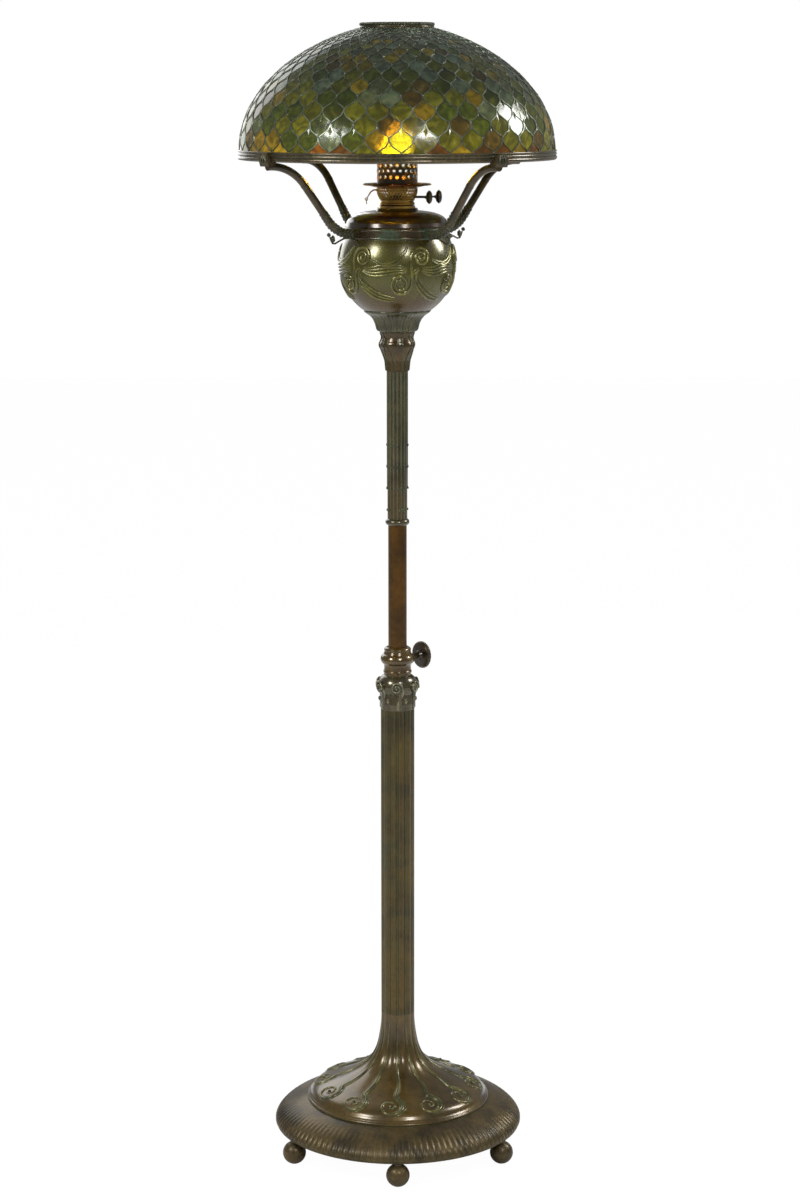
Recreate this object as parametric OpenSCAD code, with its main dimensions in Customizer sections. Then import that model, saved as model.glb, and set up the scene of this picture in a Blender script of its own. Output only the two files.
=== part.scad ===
// Oil-burning floor lamp with a sliding stem, an urn, a shade holder of four arms and a leaded glass dome.
// The origin is on the floor at the lamp's own axis. +Z is up and the front faces -Y.

/* [Base] */
// Diameter of one ball foot
foot_d = 34.6; // [30:0.2:38]
// Depth of the flat ground under each ball
foot_flat = 0.5; // [0.3:0.1:1]
// Number of ball feet
foot_count = 6; // [5:1:8]
// Height of the short neck over each ball
foot_neck = 0.9; // [0.5:0.1:3]
// Distance from the plate's edge to the circle on which the balls stand
foot_inset = 8; // [7.5:0.1:12]
// Diameter of the stud that holds a ball
foot_stud_d = 4; // [3:0.1:4.5]
// Widest radius of the base plate
plate_r = 186.9; // [185:0.1:200]
// Height of the base plate
plate_h = 40; // [38:0.5:50]
// Power of the base plate's curve, 1 for an ellipse
plate_power = 1.7; // [1:0.1:2]
// Wall of the base plate
plate_wall = 3.2; // [2.6:0.1:3.6]
// Width of the turned-in lip under the base plate
plate_lip = 20; // [18:0.5:30]
// Number of radial ribs on the base plate
rib_count = 120; // [80:4:128]
// Height of one radial rib
rib_h = 1.3; // [0.4:0.1:2]
// Radius of the scroll dome at its rim
dome_r = 132.5; // [120:0.5:136]
// Height from the base plate to the top of the dome's neck
dome_h = 133; // [115:1:150]
// Wall of the dome
dome_wall = 4; // [3:0.1:5]
// Thickness of the iron weight inside the base
weight_h = 12; // [8:0.5:18]
// Width of the raised tendril in its curl
tendril_d = 6.4; // [4:0.2:8]
// Width of the tendril where it runs down the neck
tendril_stem_d = 3.4; // [2.4:0.1:4.4]
// Outer radius of a tendril's curl
curl_r = 21; // [16:0.5:23]

/* [Column] */
// Radius over the lobes of the column
column_r = 25.5; // [24:0.1:27]
// Length of the lobed part of the column
column_len = 470; // [430:1:500]
// Number of lobes round the column
lobe_count = 12; // [10:1:12]
// Radius of one lobe
lobe_r = 6.2; // [5.9:0.1:6.5]
// Radius of the thin ridge between two lobes
ridge_r = 1.7; // [1.2:0.1:2.2]
// Radius of the bore that guides the sliding tube
column_bore_r = 17; // [16.4:0.1:17.4]
// Radius of the plain spigot on top of the column
spigot_r = 19.2; // [18.8:0.1:19.6]
// Height of the scrolled capital
capital_h = 51.5; // [48:0.5:60]
// Radius of the capital at its widest
capital_r = 29.4; // [28.8:0.1:34]
// Number of volutes round the capital
volute_count = 6; // [5:1:6]
// Radius of one volute
volute_r = 8.8; // [7:0.2:10]
// Height of the clamp collar
collar_h = 41.5; // [40:0.5:56]
// Radius of the clamp collar's bulge
collar_r = 25.2; // [24.6:0.1:30]
// Diameter of the thumbscrew's thread
screw_d = 8; // [6:0.1:9]
// Diameter of the thumbscrew's head
knob_d = 40.5; // [34:0.5:44]
// Thickness of the thumbscrew's head
knob_h = 9; // [6:0.5:12]
// Direction of the thumbscrew, from the right towards the back
knob_turn = 38; // [30:1:60]

/* [Stem] */
// Radius of the sliding tube
tube_r = 13.6; // [13:0.1:14]
// Wall of the sliding tube
tube_wall = 2; // [1.2:0.1:3]
// Length of bare tube over the collar at the height shown
tube_shown = 182; // [120:1:220]
// Length of tube hidden in the column at the height shown
tube_hidden = 300; // [240:1:380]
// Height of the bead ring at the foot of the stem
bead_h = 10; // [8:0.5:14]
// Radius of the bead ring
bead_r = 17.6; // [16.8:0.1:20]
// Length of the reeded sleeve
sleeve_len = 217; // [190:1:240]
// Radius of the sleeve's core
sleeve_r = 14.5; // [14.4:0.1:15.2]
// Number of reeds round the sleeve
reed_count = 32; // [24:8:32]
// Diameter of one reed
reed_d = 2.6; // [2:0.1:2.7]
// Height of the knuckle over the sleeve
knuckle_h = 57; // [50:1:70]
// Radius of the fluted cup's lip
cup_r = 48.5; // [46:0.1:52]
// Height of the fluted cup
cup_h = 32; // [30:1:36]
// Number of flutes round the cup
flute_count = 36; // [24:1:40]

/* [Urn] */
// Widest radius of the urn
urn_r = 84; // [82:0.5:90]
// Wall of the urn
urn_wall = 3; // [2:0.1:4]
// Height of the urn from its floor to its rim
urn_h = 103; // [98:1:108]
// Height of the band over the urn
band_h = 16; // [13:0.5:20]
// Radius of the band
band_r = 76; // [75:0.1:78]
// Clear radius inside the band
band_bore_r = 71; // [70:0.1:72]
// Wall of the oil pot
pot_wall = 1.2; // [0.8:0.1:2]
// Depth of the oil pot under the band
pot_depth = 80; // [60:1:84]
// Height of the pot's domed lid
lid_h = 25; // [22:0.5:28]

/* [Shade holder] */
// Number of arms
arm_count = 4; // [3:1:4]
// Direction of the first arm, from the front towards the right
arm_turn = 38; // [30:1:45]
// Diameter of an arm
arm_d = 11; // [9:0.2:12]
// Radius of the arm's lower bend
arm_bend_low = 51.5; // [46:0.5:60]
// Radius of the arm's upper bend
arm_bend_high = 74; // [66:0.5:84]
// Angle of the arm's lower bend
arm_rise = 51; // [48:0.5:54]
// Angle of the arm's upper bend
arm_fall = 56; // [50:0.5:58]
// Width of the clip at the end of an arm
clip_w = 21; // [14:0.5:26]
// Height of the clip's outer leaf over its ledge
clip_leaf = 12; // [8:0.5:14]

/* [Burner] */
// Radius of the pierced basket at its top
basket_r = 28.7; // [27.5:0.1:30]
// Height of the pierced basket
basket_h = 19; // [17:0.5:22]
// Radius of the burner's collar
burner_r = 25.5; // [24.5:0.1:26.5]
// Radius of the burner's screwed spigot
burner_spigot_r = 20; // [19.6:0.1:20.6]
// Radius of the copper-edged flange
flange_r = 49.5; // [44:0.5:52]
// Radius of the perforated gallery
gallery_r = 29.4; // [29:0.1:30.5]
// Height of the perforated gallery
gallery_h = 30; // [24:0.5:31]
// Width of one wick
wick_w = 25; // [22:0.5:26]
// Thickness of one wick
wick_t = 1.6; // [1.2:0.1:2]
// Distance of each wick from the lamp's axis
wick_y = 6; // [5:0.1:7]
// Radius of the toothed wheel that lifts a wick
wheel_r = 3.2; // [2.8:0.1:3.4]
// Distance from the axis to the near wick knob
near_knob_x = 44.6; // [42:0.1:48]
// Distance from the axis to the far wick knob
far_knob_x = 58.6; // [55:0.1:64]
// Diameter of a wick knob
wick_knob_d = 19.5; // [16:0.5:20]
// Length of the chimney
chimney_h = 203; // [180:1:208]
// Radius of the chimney's bulge
chimney_bulge_r = 32; // [30:0.5:36]
// Radius of the chimney's upper tube
chimney_top_r = 21; // [18:0.5:26]

/* [Shade] */
// Radius of the glass at the rim
shade_r = 226; // [220:0.5:227]
// Height of the curve that the glass follows
shade_rise = 177.8; // [165:0.1:190]
// Power of that curve, 2 for an ellipse
shade_power = 1.7; // [1.6:0.05:2]
// Radius of the opening at the crown
crown_r = 52; // [48:0.5:60]
// Thickness of glass and lead
glass_t = 3; // [2:0.1:4]
// Number of glass tiles round the shade
tile_count = 42; // [36:1:48]
// Number of rows of tiles
tile_rows = 17; // [13:2:19]
// Turn of the glass, from the front towards the right
tile_turn = 1.55; // [0:0.05:8]
// Distance that the rim band stands out from the glass
rim_lip = 3; // [2.6:0.1:4]
// Height of the rim band
rim_h = 14; // [10:0.5:18]
// Height of the roped crown ring
crown_h = 7.7; // [6:0.1:10]

/* [Hidden] */
$fn = 64;

// Colours
bronze = "#51462c";
verdigris = "#4f5c45";
warm_bronze = "#5a4026";
brass_tone = "#a98d4c";
copper_tone = "#8a4a2c";
iron_tone = "#3c3c3c";
cotton = "#d8d2bf";
glass_green = "#5c6b32";
clear_glass = "#dfe8e8";

// Clearances
run_fit = 0.05;   // shaft that turns or slides in a bore
guide_fit = 0.1;  // wide bush that slides in the column
rest_gap = 0.3;   // curved faces of pieces that move apart

// Radii that follow from others
foot_ring_r = plate_r - foot_inset;
rim_r = shade_r + rim_lip;

// Heights up the stand
plate_z = foot_d - foot_flat + foot_neck;
dome_z = plate_z + plate_h;
column_z = dome_z + dome_h;
capital_z = column_z + column_len;
collar_z = capital_z + capital_h;
collar_top_z = collar_z + collar_h;

// Heights up the sliding stem
bead_z = collar_top_z + tube_shown;
sleeve_z = bead_z + bead_h;
knuckle_z = sleeve_z + sleeve_len;
cup_z = knuckle_z + knuckle_h;
urn_z = cup_z + cup_h;
urn_center_z = urn_z + urn_h * 0.64;
band_z = urn_z + urn_h;
lid_z = band_z + band_h;
tube_foot_z = collar_top_z - tube_hidden;

// Collar and collet
spigot_rise = 5.5;
collet_seat_z = collar_z + spigot_rise;
collar_lip = 2;
collet_r = column_bore_r + 1;
screw_z = collar_top_z - 18;
pad_len = 3;
pad_r = screw_d / 2 - run_fit;
pad_x = collet_r + rest_gap;
knob_x = 41;

// Burner heights
lid_neck_r = 29;
pot_collar_h = 8;
burner_z = lid_z + lid_h + 5;
burner_ring_h = 7;
basket_z = burner_z + burner_ring_h;
flange_z = basket_z + basket_h;
flange_h = 6;
gallery_z = flange_z + flange_h;
winder_z = basket_z + 5;
winder_y = wick_y + wick_t / 2 + 0.15 + wheel_r;
winder_shaft_r = 1.3;
tube_gap = 0.6;
tube_skin = 0.5;
wick_top_z = gallery_z + 13;
wick_foot_z = lid_z - pot_depth + 18;
flame_dome_r = gallery_r - 6;

// Shade holder
arm_root_r = band_r + 2;
pin_hole_r = 2.5;
bud_gap = 1;
bud_d = arm_d + 0.8;
arm_start_r = arm_root_r + 4.8;
arm_start_z = band_z + band_h / 2;
arm_low_center = [arm_start_r, arm_start_z + arm_bend_low];
arm_low_end = arm_low_center + arm_bend_low * [sin(arm_rise), -cos(arm_rise)];
arm_end_angle = arm_rise - arm_fall;
arm_end_r = rim_r - 0.8;
arm_straight = (arm_end_r - arm_low_end[0] - arm_bend_high * (sin(arm_rise) - sin(arm_end_angle))) / cos(arm_rise);
arm_high_start = arm_low_end + arm_straight * [cos(arm_rise), sin(arm_rise)];
arm_high_center = arm_high_start + arm_bend_high * [sin(arm_rise), -cos(arm_rise)];
arm_end = arm_high_center + arm_bend_high * [-sin(arm_end_angle), cos(arm_end_angle)];
rim_z = arm_end[1] + arm_d / 2 + 0.9;
glass_z = rim_z + rim_h;

// Snuffer
lever_x = basket_r + 0.4;
lever_z = flange_z - 4;
lever_gap = 1.8;
pivot_r = 0.9;
snuffer_gap = 0.4;
snuffer_x = wick_w / 2 + tube_gap + tube_skin + snuffer_gap;
lever_arm = lever_x - snuffer_x;
lever_reach = 15;
lever_drop = 13;

// Point of a cubic curve through four control points
function curve_point(p, t) =
    pow(1 - t, 3) * p[0] + 3 * t * pow(1 - t, 2) * p[1] + 3 * t * t * (1 - t) * p[2] + pow(t, 3) * p[3];

// Points of an arc in the plane of a profile
function arc_points(center, r, from, to, steps) =
    [for (i = [0:steps]) let (a = from + (to - from) * i / steps) center + r * [cos(a), sin(a)]];

// Hyperbolic secant, which spaces the rows of tiles so that each tile keeps its shape
function sech(x) = 2 * exp(x) / (exp(2 * x) + 1);

// Share of the glass's height at a share of its radius
function dome_share(x) = sqrt(1 - pow(x, shade_power));

// Position at an angle turned from the front towards the right
function around(r, angle, z) = [r * sin(angle), -r * cos(angle), z];

// Triangles between two closed rings of points that start at a and b
function ring_faces(a, b, n) = [
    for (j = [0:n - 1])
        each [[a + j, b + j, a + (j + 1) % n], [a + (j + 1) % n, b + j, b + (j + 1) % n]]
];

// The same with the other diagonal, for a second ring that is half a step behind
function early_faces(a, b, n) = [
    for (j = [0:n - 1])
        each [[a + j, b + j, b + (j + 1) % n], [a + j, b + (j + 1) % n, a + (j + 1) % n]]
];

// The same from a ring of many points to one of few, and from few to many
function narrow_faces(a, b, n, m) = let (k = n / m) [
    for (j = [0:m - 1])
        each concat(
            [for (i = [0:k - 1]) [a + j * k + i, b + j, a + (j * k + i + 1) % n]],
            [[a + (j * k + k) % n, b + j, b + (j + 1) % m]]
        )
];
function widen_faces(a, b, n, m) = let (k = m / n) [
    for (j = [0:n - 1])
        each concat(
            [for (i = [0:k - 1]) [b + j * k + i, b + (j * k + i + 1) % m, a + j]],
            [[a + j, b + (j * k + k) % m, a + (j + 1) % n]]
        )
];
function strip_faces(a, b, n, m) =
    n == m ? ring_faces(a, b, n) : n > m ? narrow_faces(a, b, n, m) : widen_faces(a, b, n, m);

// Closed skin over rings that run round the lamp's axis and back along the inside
module ring_skin(rings) {
    sizes = [for (ring = rings) len(ring)];
    count = len(rings);
    starts = [for (i = 0, s = 0; i < count; s = s + sizes[i], i = i + 1) s];
    polyhedron(
        points = [for (ring = rings) each ring],
        faces = [for (i = [0:count - 1]) let (next = (i + 1) % count)
            each strip_faces(starts[i], starts[next], sizes[i], sizes[next])]
    );
}

// Closed tube over rings along a path, with flat ends
module path_skin(rings) {
    n = len(rings[0]);
    count = len(rings);
    polyhedron(
        points = [for (ring = rings) each ring],
        faces = concat(
            [for (i = [0:count - 2]) each ring_faces((i + 1) * n, i * n, n)],
            [for (j = [1:n - 2]) [0, j + 1, j]],
            [for (j = [1:n - 2]) let (e = (count - 1) * n) [e, e + j, e + j + 1]]
        )
    );
}

// Copies round the lamp's axis, the first one turned from the front towards the right
module around_axis(count, turn = 0) {
    for (i = [0:count - 1])
        rotate([0, 0, turn - 90 + i * 360 / count]) children();
}

// Six ball feet, each with a flat below, a neck and a stud above
module ball_feet() {
    color(bronze)
    around_axis(foot_count) translate([foot_ring_r, 0, 0]) {
        difference() {
            translate([0, 0, foot_d / 2 - foot_flat]) sphere(d = foot_d);
            translate([0, 0, -5]) cube([foot_d, foot_d, 10], center = true);
        }
        translate([0, 0, foot_d - 3]) cylinder(d = 12, h = plate_z - foot_d + 3);
        translate([0, 0, foot_d - 3])
            cylinder(d = foot_stud_d, h = plate_z + plate_wall + foot_nut_h + 1 - foot_d + 3);
    }
}

// Cushion-shaped base plate, hollow below, with ribs that fade towards the dome
plate_top_r = dome_r - 14;
plate_crown_r = dome_r + 3;
plate_edge_z = plate_z + 4;
function plate_point(t, wall) = [
    plate_crown_r + (plate_r - wall - plate_crown_r) * pow(cos(t), plate_power),
    plate_edge_z + (dome_z - wall - plate_edge_z) * sin(t)
];
function rib_share(t) = max(0, min(1, (66 - t) / 40));
function ribbed_ring(p, rise) = [
    for (j = [0:2 * rib_count - 1])
        around(p[0] - (j % 2) * rise, j * 180 / rib_count, p[1] - (j % 2) * rise * 0.6)
];
function plain_ring(p) = [for (j = [0:rib_count / 2 - 1]) around(p[0], j * 720 / rib_count, p[1])];
module base_plate() {
    plate_rings = concat(
        [plain_ring([plate_r - plate_lip, plate_z]), plain_ring([plate_r - 2, plate_z])],
        [for (t = [0, 13, 29, 47, 64]) ribbed_ring(plate_point(t, 0), rib_h * rib_share(t))],
        [plain_ring(plate_point(78, 0)), plain_ring(plate_point(90, 0))],
        [plain_ring([plate_top_r, dome_z]), plain_ring([plate_top_r, dome_z - plate_wall])],
        [for (t = [90, 62, 30, 0]) plain_ring(plate_point(t, plate_wall))],
        [plain_ring([plate_r - plate_wall - 0.4, plate_z + plate_wall])],
        [plain_ring([plate_r - plate_lip, plate_z + plate_wall])]
    );
    color(bronze) difference() {
        ring_skin(plate_rings);
        around_axis(foot_count) translate([foot_ring_r, 0, plate_z - 1])
            cylinder(d = foot_stud_d + 2 * run_fit, h = plate_wall + 2);
    }
}

// Hexagon nuts on the studs, as wide as the plate's inner wall leaves room for
foot_nut_h = 2.4;
wall_foot = plate_point(0, plate_wall);
wall_over = plate_point(30, plate_wall);
nut_wall_r = wall_foot[0] + (wall_over[0] - wall_foot[0])
    * (plate_z + plate_wall + foot_nut_h - wall_foot[1]) / (wall_over[1] - wall_foot[1]);
foot_nut_r = (nut_wall_r * cos(360 / rib_count) - foot_ring_r - rest_gap) / cos(30);
module foot_nuts() {
    color(iron_tone)
    around_axis(foot_count) translate([foot_ring_r, 0, plate_z + plate_wall])
        rotate([0, 0, 30]) difference() {
            cylinder(r = foot_nut_r, h = foot_nut_h, $fn = 6);
            translate([0, 0, -1]) cylinder(d = foot_stud_d + 2 * run_fit, h = foot_nut_h + 2);
        }
}

// Iron disc pulled up against the underside of the base plate
tie_r = 8;
module base_weight() {
    color(iron_tone)
    translate([0, 0, dome_z - plate_wall - weight_h]) difference() {
        cylinder(r = plate_top_r + 9, h = weight_h);
        translate([0, 0, -1]) cylinder(r = tie_r + 0.2, h = weight_h + 2);
    }
}

// Threaded tube that ties base, dome and column together
washer_h = 2;
nut_h = 8;
column_plug = 22;
module tie_tube() {
    tie_low = dome_z - plate_wall - weight_h - washer_h - nut_h - 3;
    color(iron_tone)
    translate([0, 0, tie_low]) difference() {
        cylinder(r = tie_r, h = column_z + column_plug - tie_low);
        translate([0, 0, -1]) cylinder(r = tie_r - 2, h = column_z + column_plug - tie_low + 2);
    }
}

module base_washer() {
    color(iron_tone)
    translate([0, 0, dome_z - plate_wall - weight_h - washer_h]) difference() {
        cylinder(r = 20, h = washer_h);
        translate([0, 0, -1]) cylinder(r = tie_r + 0.2, h = washer_h + 2);
    }
}

module base_nut() {
    color(iron_tone)
    translate([0, 0, dome_z - plate_wall - weight_h - washer_h - nut_h]) difference() {
        cylinder(r = 14, h = nut_h, $fn = 6);
        translate([0, 0, -1]) cylinder(r = tie_r + run_fit, h = nut_h + 2);
    }
}

// Outline of the dome from the column's foot (0) over the shoulder (1) to the rim (2)
shoulder = [dome_r * 0.63, dome_z + dome_h * 0.25];
shoulder_run = [dome_r * 0.318, -dome_h * 0.146];
neck_curve = [
    [column_r + 0.3, column_z],
    [column_r + 0.3, dome_z + dome_h * 0.466],
    shoulder - shoulder_run,
    shoulder
];
dome_curve = [
    shoulder,
    shoulder + 0.71 * shoulder_run,
    [dome_r - 4, dome_z + dome_h * 0.156],
    [dome_r, dome_z + 5]
];
function dome_point(u) = u < 1 ? curve_point(neck_curve, u) : curve_point(dome_curve, min(2, u) - 1);
function dome_slope(u) = let (d = dome_point(u + 0.02) - dome_point(u - 0.02)) d / norm(d);
function dome_lift(u, h) = dome_point(u) + h * [-dome_slope(u)[1], dome_slope(u)[0]];

// Position on the outline at a distance from the column's foot, measured along the outline
outline_step = 0.05;
outline_run = [
    for (
        u = 0, run = 0;
        u < 2 + outline_step / 2;
        run = run + norm(dome_point(u + outline_step) - dome_point(u)), u = u + outline_step
    ) [run, u]
];
outline_len = outline_run[len(outline_run) - 1][0];
function dome_at(run) = lookup(run, outline_run);

// Lobes of the column fade out over the dome's shoulder
lobe_steps = 6;
lobe_depth = 3;
stem_turn = -1;
function lobe_share(u) = max(0, 1 - pow(max(0, u) / 1.15, 2));
function lobe_cut(j, depth) = depth * (1 - abs(sin(j * 180 / lobe_steps)));
function dome_ring(p, depth) = [
    for (j = [0:lobe_steps * lobe_count - 1])
        around(p[0] - lobe_cut(j, depth), stem_turn + j * 360 / (lobe_steps * lobe_count), p[1])
];
function dome_hollow(p) = [
    for (j = [0:2 * lobe_count - 1]) around(p[0], stem_turn + j * 180 / lobe_count, p[1])
];

// One tendril: down a valley of the neck, round below its curl and inwards
curl_turn = -5.5;
curl_run = outline_len - 27;
curl_center_r = dome_point(dome_at(curl_run))[0];
curl_from = -70;
curl_turns = 1.6;
tendril_run = 60;
stem_steps = 5;
curl_steps = 14;
last_step = stem_steps + curl_steps;
function curl_radius(s) = curl_r * (1 - 0.8 * s);
function curl_spot(s) = let (a = curl_from + 360 * curl_turns * s)
    [curl_radius(s) * cos(a), curl_radius(s) * sin(a)];
function tendril_spot(k) = let (
    start = curl_spot(0),
    top = [(stem_turn - curl_turn) * curl_center_r * PI / 180, tendril_run],
    joint = curl_run + start[1] - 4,
    s = (k - stem_steps) / curl_steps,
    c = curl_spot(max(0, s))
) k < stem_steps
    ? top + [(start[0] - top[0]) * pow(k / stem_steps, 3), (joint - top[1]) * k / (stem_steps - 0.4)]
    : [c[0], curl_run + c[1]];
function tendril_center(k, turn) =
    let (s = tendril_spot(k), p = dome_lift(dome_at(s[1]), 0.5))
    around(p[0], turn + s[0] / curl_center_r * 180 / PI, p[1]);
function unit(v) = v / norm(v);
function tendril_width(k) = k < stem_steps
    ? tendril_stem_d + (tendril_d - tendril_stem_d) * pow(k / stem_steps, 2)
    : tendril_d * (1 - 0.4 * (k - stem_steps) / curl_steps);
function tendril_ring(k, turn) = let (
    c = tendril_center(k, turn),
    ahead = unit(tendril_center(min(last_step, k + 0.2), turn) - tendril_center(max(0, k - 0.2), turn)),
    side = unit(cross(ahead, [c[0], c[1], 90])),
    up = cross(side, ahead),
    r = tendril_width(k) / 2
) [for (a = [0:90:270]) c + r * cos(a) * side + r * 0.9 * sin(a) * up];

// Dome with the flared neck that carries the column, and its tendrils with a seed in each curl
module column_foot() {
    neck_bore = spigot_r + 0.3;
    outer = concat([for (i = [6:-1:0]) 1 + i / 6], [for (i = [4:-1:0]) i / 5]);
    rings = concat(
        [dome_hollow([neck_bore, dome_point(0.3)[1]])],
        [for (u = [0.6, 0.8, 1, 1.4, 1.8]) dome_hollow(dome_lift(u, -dome_wall - lobe_depth * lobe_share(u)))],
        [dome_hollow([dome_r - dome_wall, dome_z]), dome_hollow([dome_r + 3, dome_z])],
        [dome_ring([dome_r + 4.4, dome_z + 1.5], 0), dome_ring([dome_r + 4, dome_z + 4.5], 0)],
        [for (u = outer) dome_ring(dome_point(u), lobe_depth * lobe_share(u))],
        [dome_hollow([neck_bore, column_z])]
    );
    color(bronze) union() {
        ring_skin(rings);
        for (i = [0:lobe_count - 1]) {
            turn = curl_turn + i * 360 / lobe_count;
            path_skin([for (k = [0:last_step]) tendril_ring(k, turn)]);
            hull() translate(tendril_center(last_step, turn)) sphere(d = tendril_d * 0.9, $fn = 6);
        }
    }
}

// Column of lobes with thin ridges between them, a guiding bore, a threaded plug below and a spigot above
module column() {
    lobe_center_r = column_r - lobe_r;
    color(bronze) difference() {
        union() {
            translate([0, 0, column_z]) linear_extrude(column_len) {
                circle(r = lobe_center_r + 1);
                for (i = [0:lobe_count - 1]) {
                    rotate(stem_turn + (i + 0.5) * 360 / lobe_count)
                        translate([0, -lobe_center_r]) circle(r = lobe_r);
                    rotate(stem_turn + i * 360 / lobe_count)
                        translate([0, 0.6 + ridge_r - column_r]) circle(r = ridge_r);
                }
            }
            translate([0, 0, column_z - 12]) cylinder(r = spigot_r, h = column_len + 12 + capital_h + spigot_rise);
        }
        translate([0, 0, column_z + column_plug])
            cylinder(r = column_bore_r, h = column_len + capital_h + 40);
        translate([0, 0, column_z - 13]) cylinder(r = tie_r + run_fit, h = column_plug + 14);
    }
}

// Bulging capital with a ring of volutes over leaf stems
volute_z = capital_z + capital_h * 0.69;
module capital() {
    bulge = concat(
        [[spigot_r, capital_z], [column_r - 0.2, capital_z], [column_r + 0.5, capital_z + capital_h * 0.18]],
        arc_points([capital_r - 18, volute_z], 18, -40, 60, 10),
        [[spigot_r, capital_z + capital_h]]
    );
    stem_h = volute_z - capital_z - 4;
    color(verdigris) difference() {
        union() {
            rotate_extrude() polygon(bulge);
            around_axis(volute_count, -2) {
                translate([spigot_r, 0, volute_z]) rotate([0, 90, 0]) volute();
                translate([column_r - 2.4, 4.6, capital_z + 2]) rotate([0, 7, 0])
                    cylinder(r = 2.8, h = stem_h);
            }
            around_axis(volute_count, -2 + 180 / volute_count)
                translate([column_r - 2.2, 0, capital_z + 2]) {
                    cylinder(r = 3.2, h = capital_h * 0.2);
                    translate([0, 0, capital_h * 0.2]) sphere(r = 3.2);
                }
        }
        translate([0, 0, capital_z - 1]) cylinder(r = spigot_r + run_fit, h = capital_h + 2);
    }
}

// Round scroll with a sunk ring and a raised eye, lying along its own axis
module volute() {
    reach = capital_r + 1.6 - spigot_r;
    difference() {
        cylinder(r = volute_r, h = reach);
        translate([0, 0, reach - 1.6]) difference() {
            cylinder(r = volute_r * 0.74, h = 4);
            translate([0, 0, -1]) cylinder(r = volute_r * 0.42, h = 6);
        }
    }
}

// Clamp collar with its thread for the thumbscrew and a lip over the collet
module clamp_collar() {
    bore = tube_r + 1;
    waist_r = collet_r + 1.8;
    bead = 3.4;
    bulge = collar_r - 16.6;
    outline = concat(
        [[bore, collar_z], [waist_r + 0.4, collar_z]],
        arc_points([waist_r + 1.2 - bead, collar_z + 4.4], bead, -40, 40, 6),
        [[waist_r, collar_z + 8], [waist_r, collar_z + 12.5]],
        arc_points([collar_r - bulge, screw_z], bulge, -62, 62, 8),
        arc_points([waist_r + 0.1 - bead, collar_top_z - 4], bead, -40, 60, 6),
        [[bore + 2, collar_top_z], [bore, collar_top_z]]
    );
    color(bronze) difference() {
        rotate_extrude() polygon(outline);
        translate([0, 0, collar_z - 1]) cylinder(r = spigot_r + run_fit, h = spigot_rise + 1);
        translate([0, 0, collet_seat_z - 0.01])
            cylinder(r = collet_r + run_fit, h = collar_top_z - collar_lip - collet_seat_z);
        rotate([0, 0, knob_turn]) translate([0, 0, screw_z]) rotate([0, 90, 0])
            cylinder(d = screw_d, h = collar_r + 5);
    }
}

// Split collet that grips the tube and turns with it
module collet() {
    low = collet_seat_z + rest_gap;
    height = collar_top_z - collar_lip - rest_gap - low;
    color(brass_tone) translate([0, 0, low]) difference() {
        cylinder(r = collet_r, h = height);
        translate([0, 0, -1]) cylinder(r = tube_r + run_fit, h = height + 2);
        rotate([0, 0, knob_turn + 180]) translate([0, -0.6, -1]) cube([collet_r + 1, 1.2, height + 2]);
    }
}

// Pad that the thumbscrew presses against the collet
module clamp_pad() {
    color(brass_tone)
    rotate([0, 0, knob_turn]) translate([pad_x, 0, screw_z]) rotate([0, 90, 0])
        cylinder(r = pad_r, h = pad_len);
}

// Thumbscrew with a scalloped head
module thumbscrew() {
    scallops = 30;
    tip = pad_x + pad_len;
    color(bronze)
    rotate([0, 0, knob_turn]) translate([0, 0, screw_z]) rotate([0, 90, 0]) {
        translate([0, 0, tip]) cylinder(r = screw_d / 2 - run_fit, h = knob_x - tip + 2);
        difference() {
            rotate_extrude() polygon(concat(
                [[0, knob_x - 4], [6, knob_x - 4], [8, knob_x]],
                arc_points([knob_d / 2 - 4, knob_x + knob_h / 2], 4, -70, 70, 6),
                [[knob_d * 0.3, knob_x + knob_h], [knob_d * 0.16, knob_x + knob_h + 1.5]],
                [[2, knob_x + knob_h + 2], [0, knob_x + knob_h + 2]]
            ));
            for (i = [0:scallops - 1])
                rotate([0, 0, i * 360 / scallops]) translate([knob_d / 2 + 0.6, 0, knob_x - 1])
                    cylinder(r = 1.5, h = knob_h + 3);
        }
    }
}

// Sliding tube, from its guide in the column up to the nut inside the urn
tube_top_z = urn_z + urn_wall + 14;
module slide_tube() {
    color(warm_bronze)
    translate([0, 0, tube_foot_z]) difference() {
        cylinder(r = tube_r, h = tube_top_z - tube_foot_z);
        translate([0, 0, -1]) cylinder(r = tube_r - tube_wall, h = tube_top_z - tube_foot_z + 2);
    }
}

// Bush on the tube's lower end
module tube_guide() {
    color(brass_tone)
    translate([0, 0, tube_foot_z]) difference() {
        cylinder(r = column_bore_r - guide_fit, h = 20);
        translate([0, 0, -1]) cylinder(r = tube_r, h = 22);
    }
}

// Bead ring that stops the stem on the collar
module bead_ring() {
    color(verdigris)
    translate([0, 0, bead_z]) rotate_extrude() difference() {
        translate([bead_r - bead_h / 2, bead_h / 2]) circle(d = bead_h);
        translate([0, -1]) square([tube_r, bead_h + 2]);
    }
}

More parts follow.
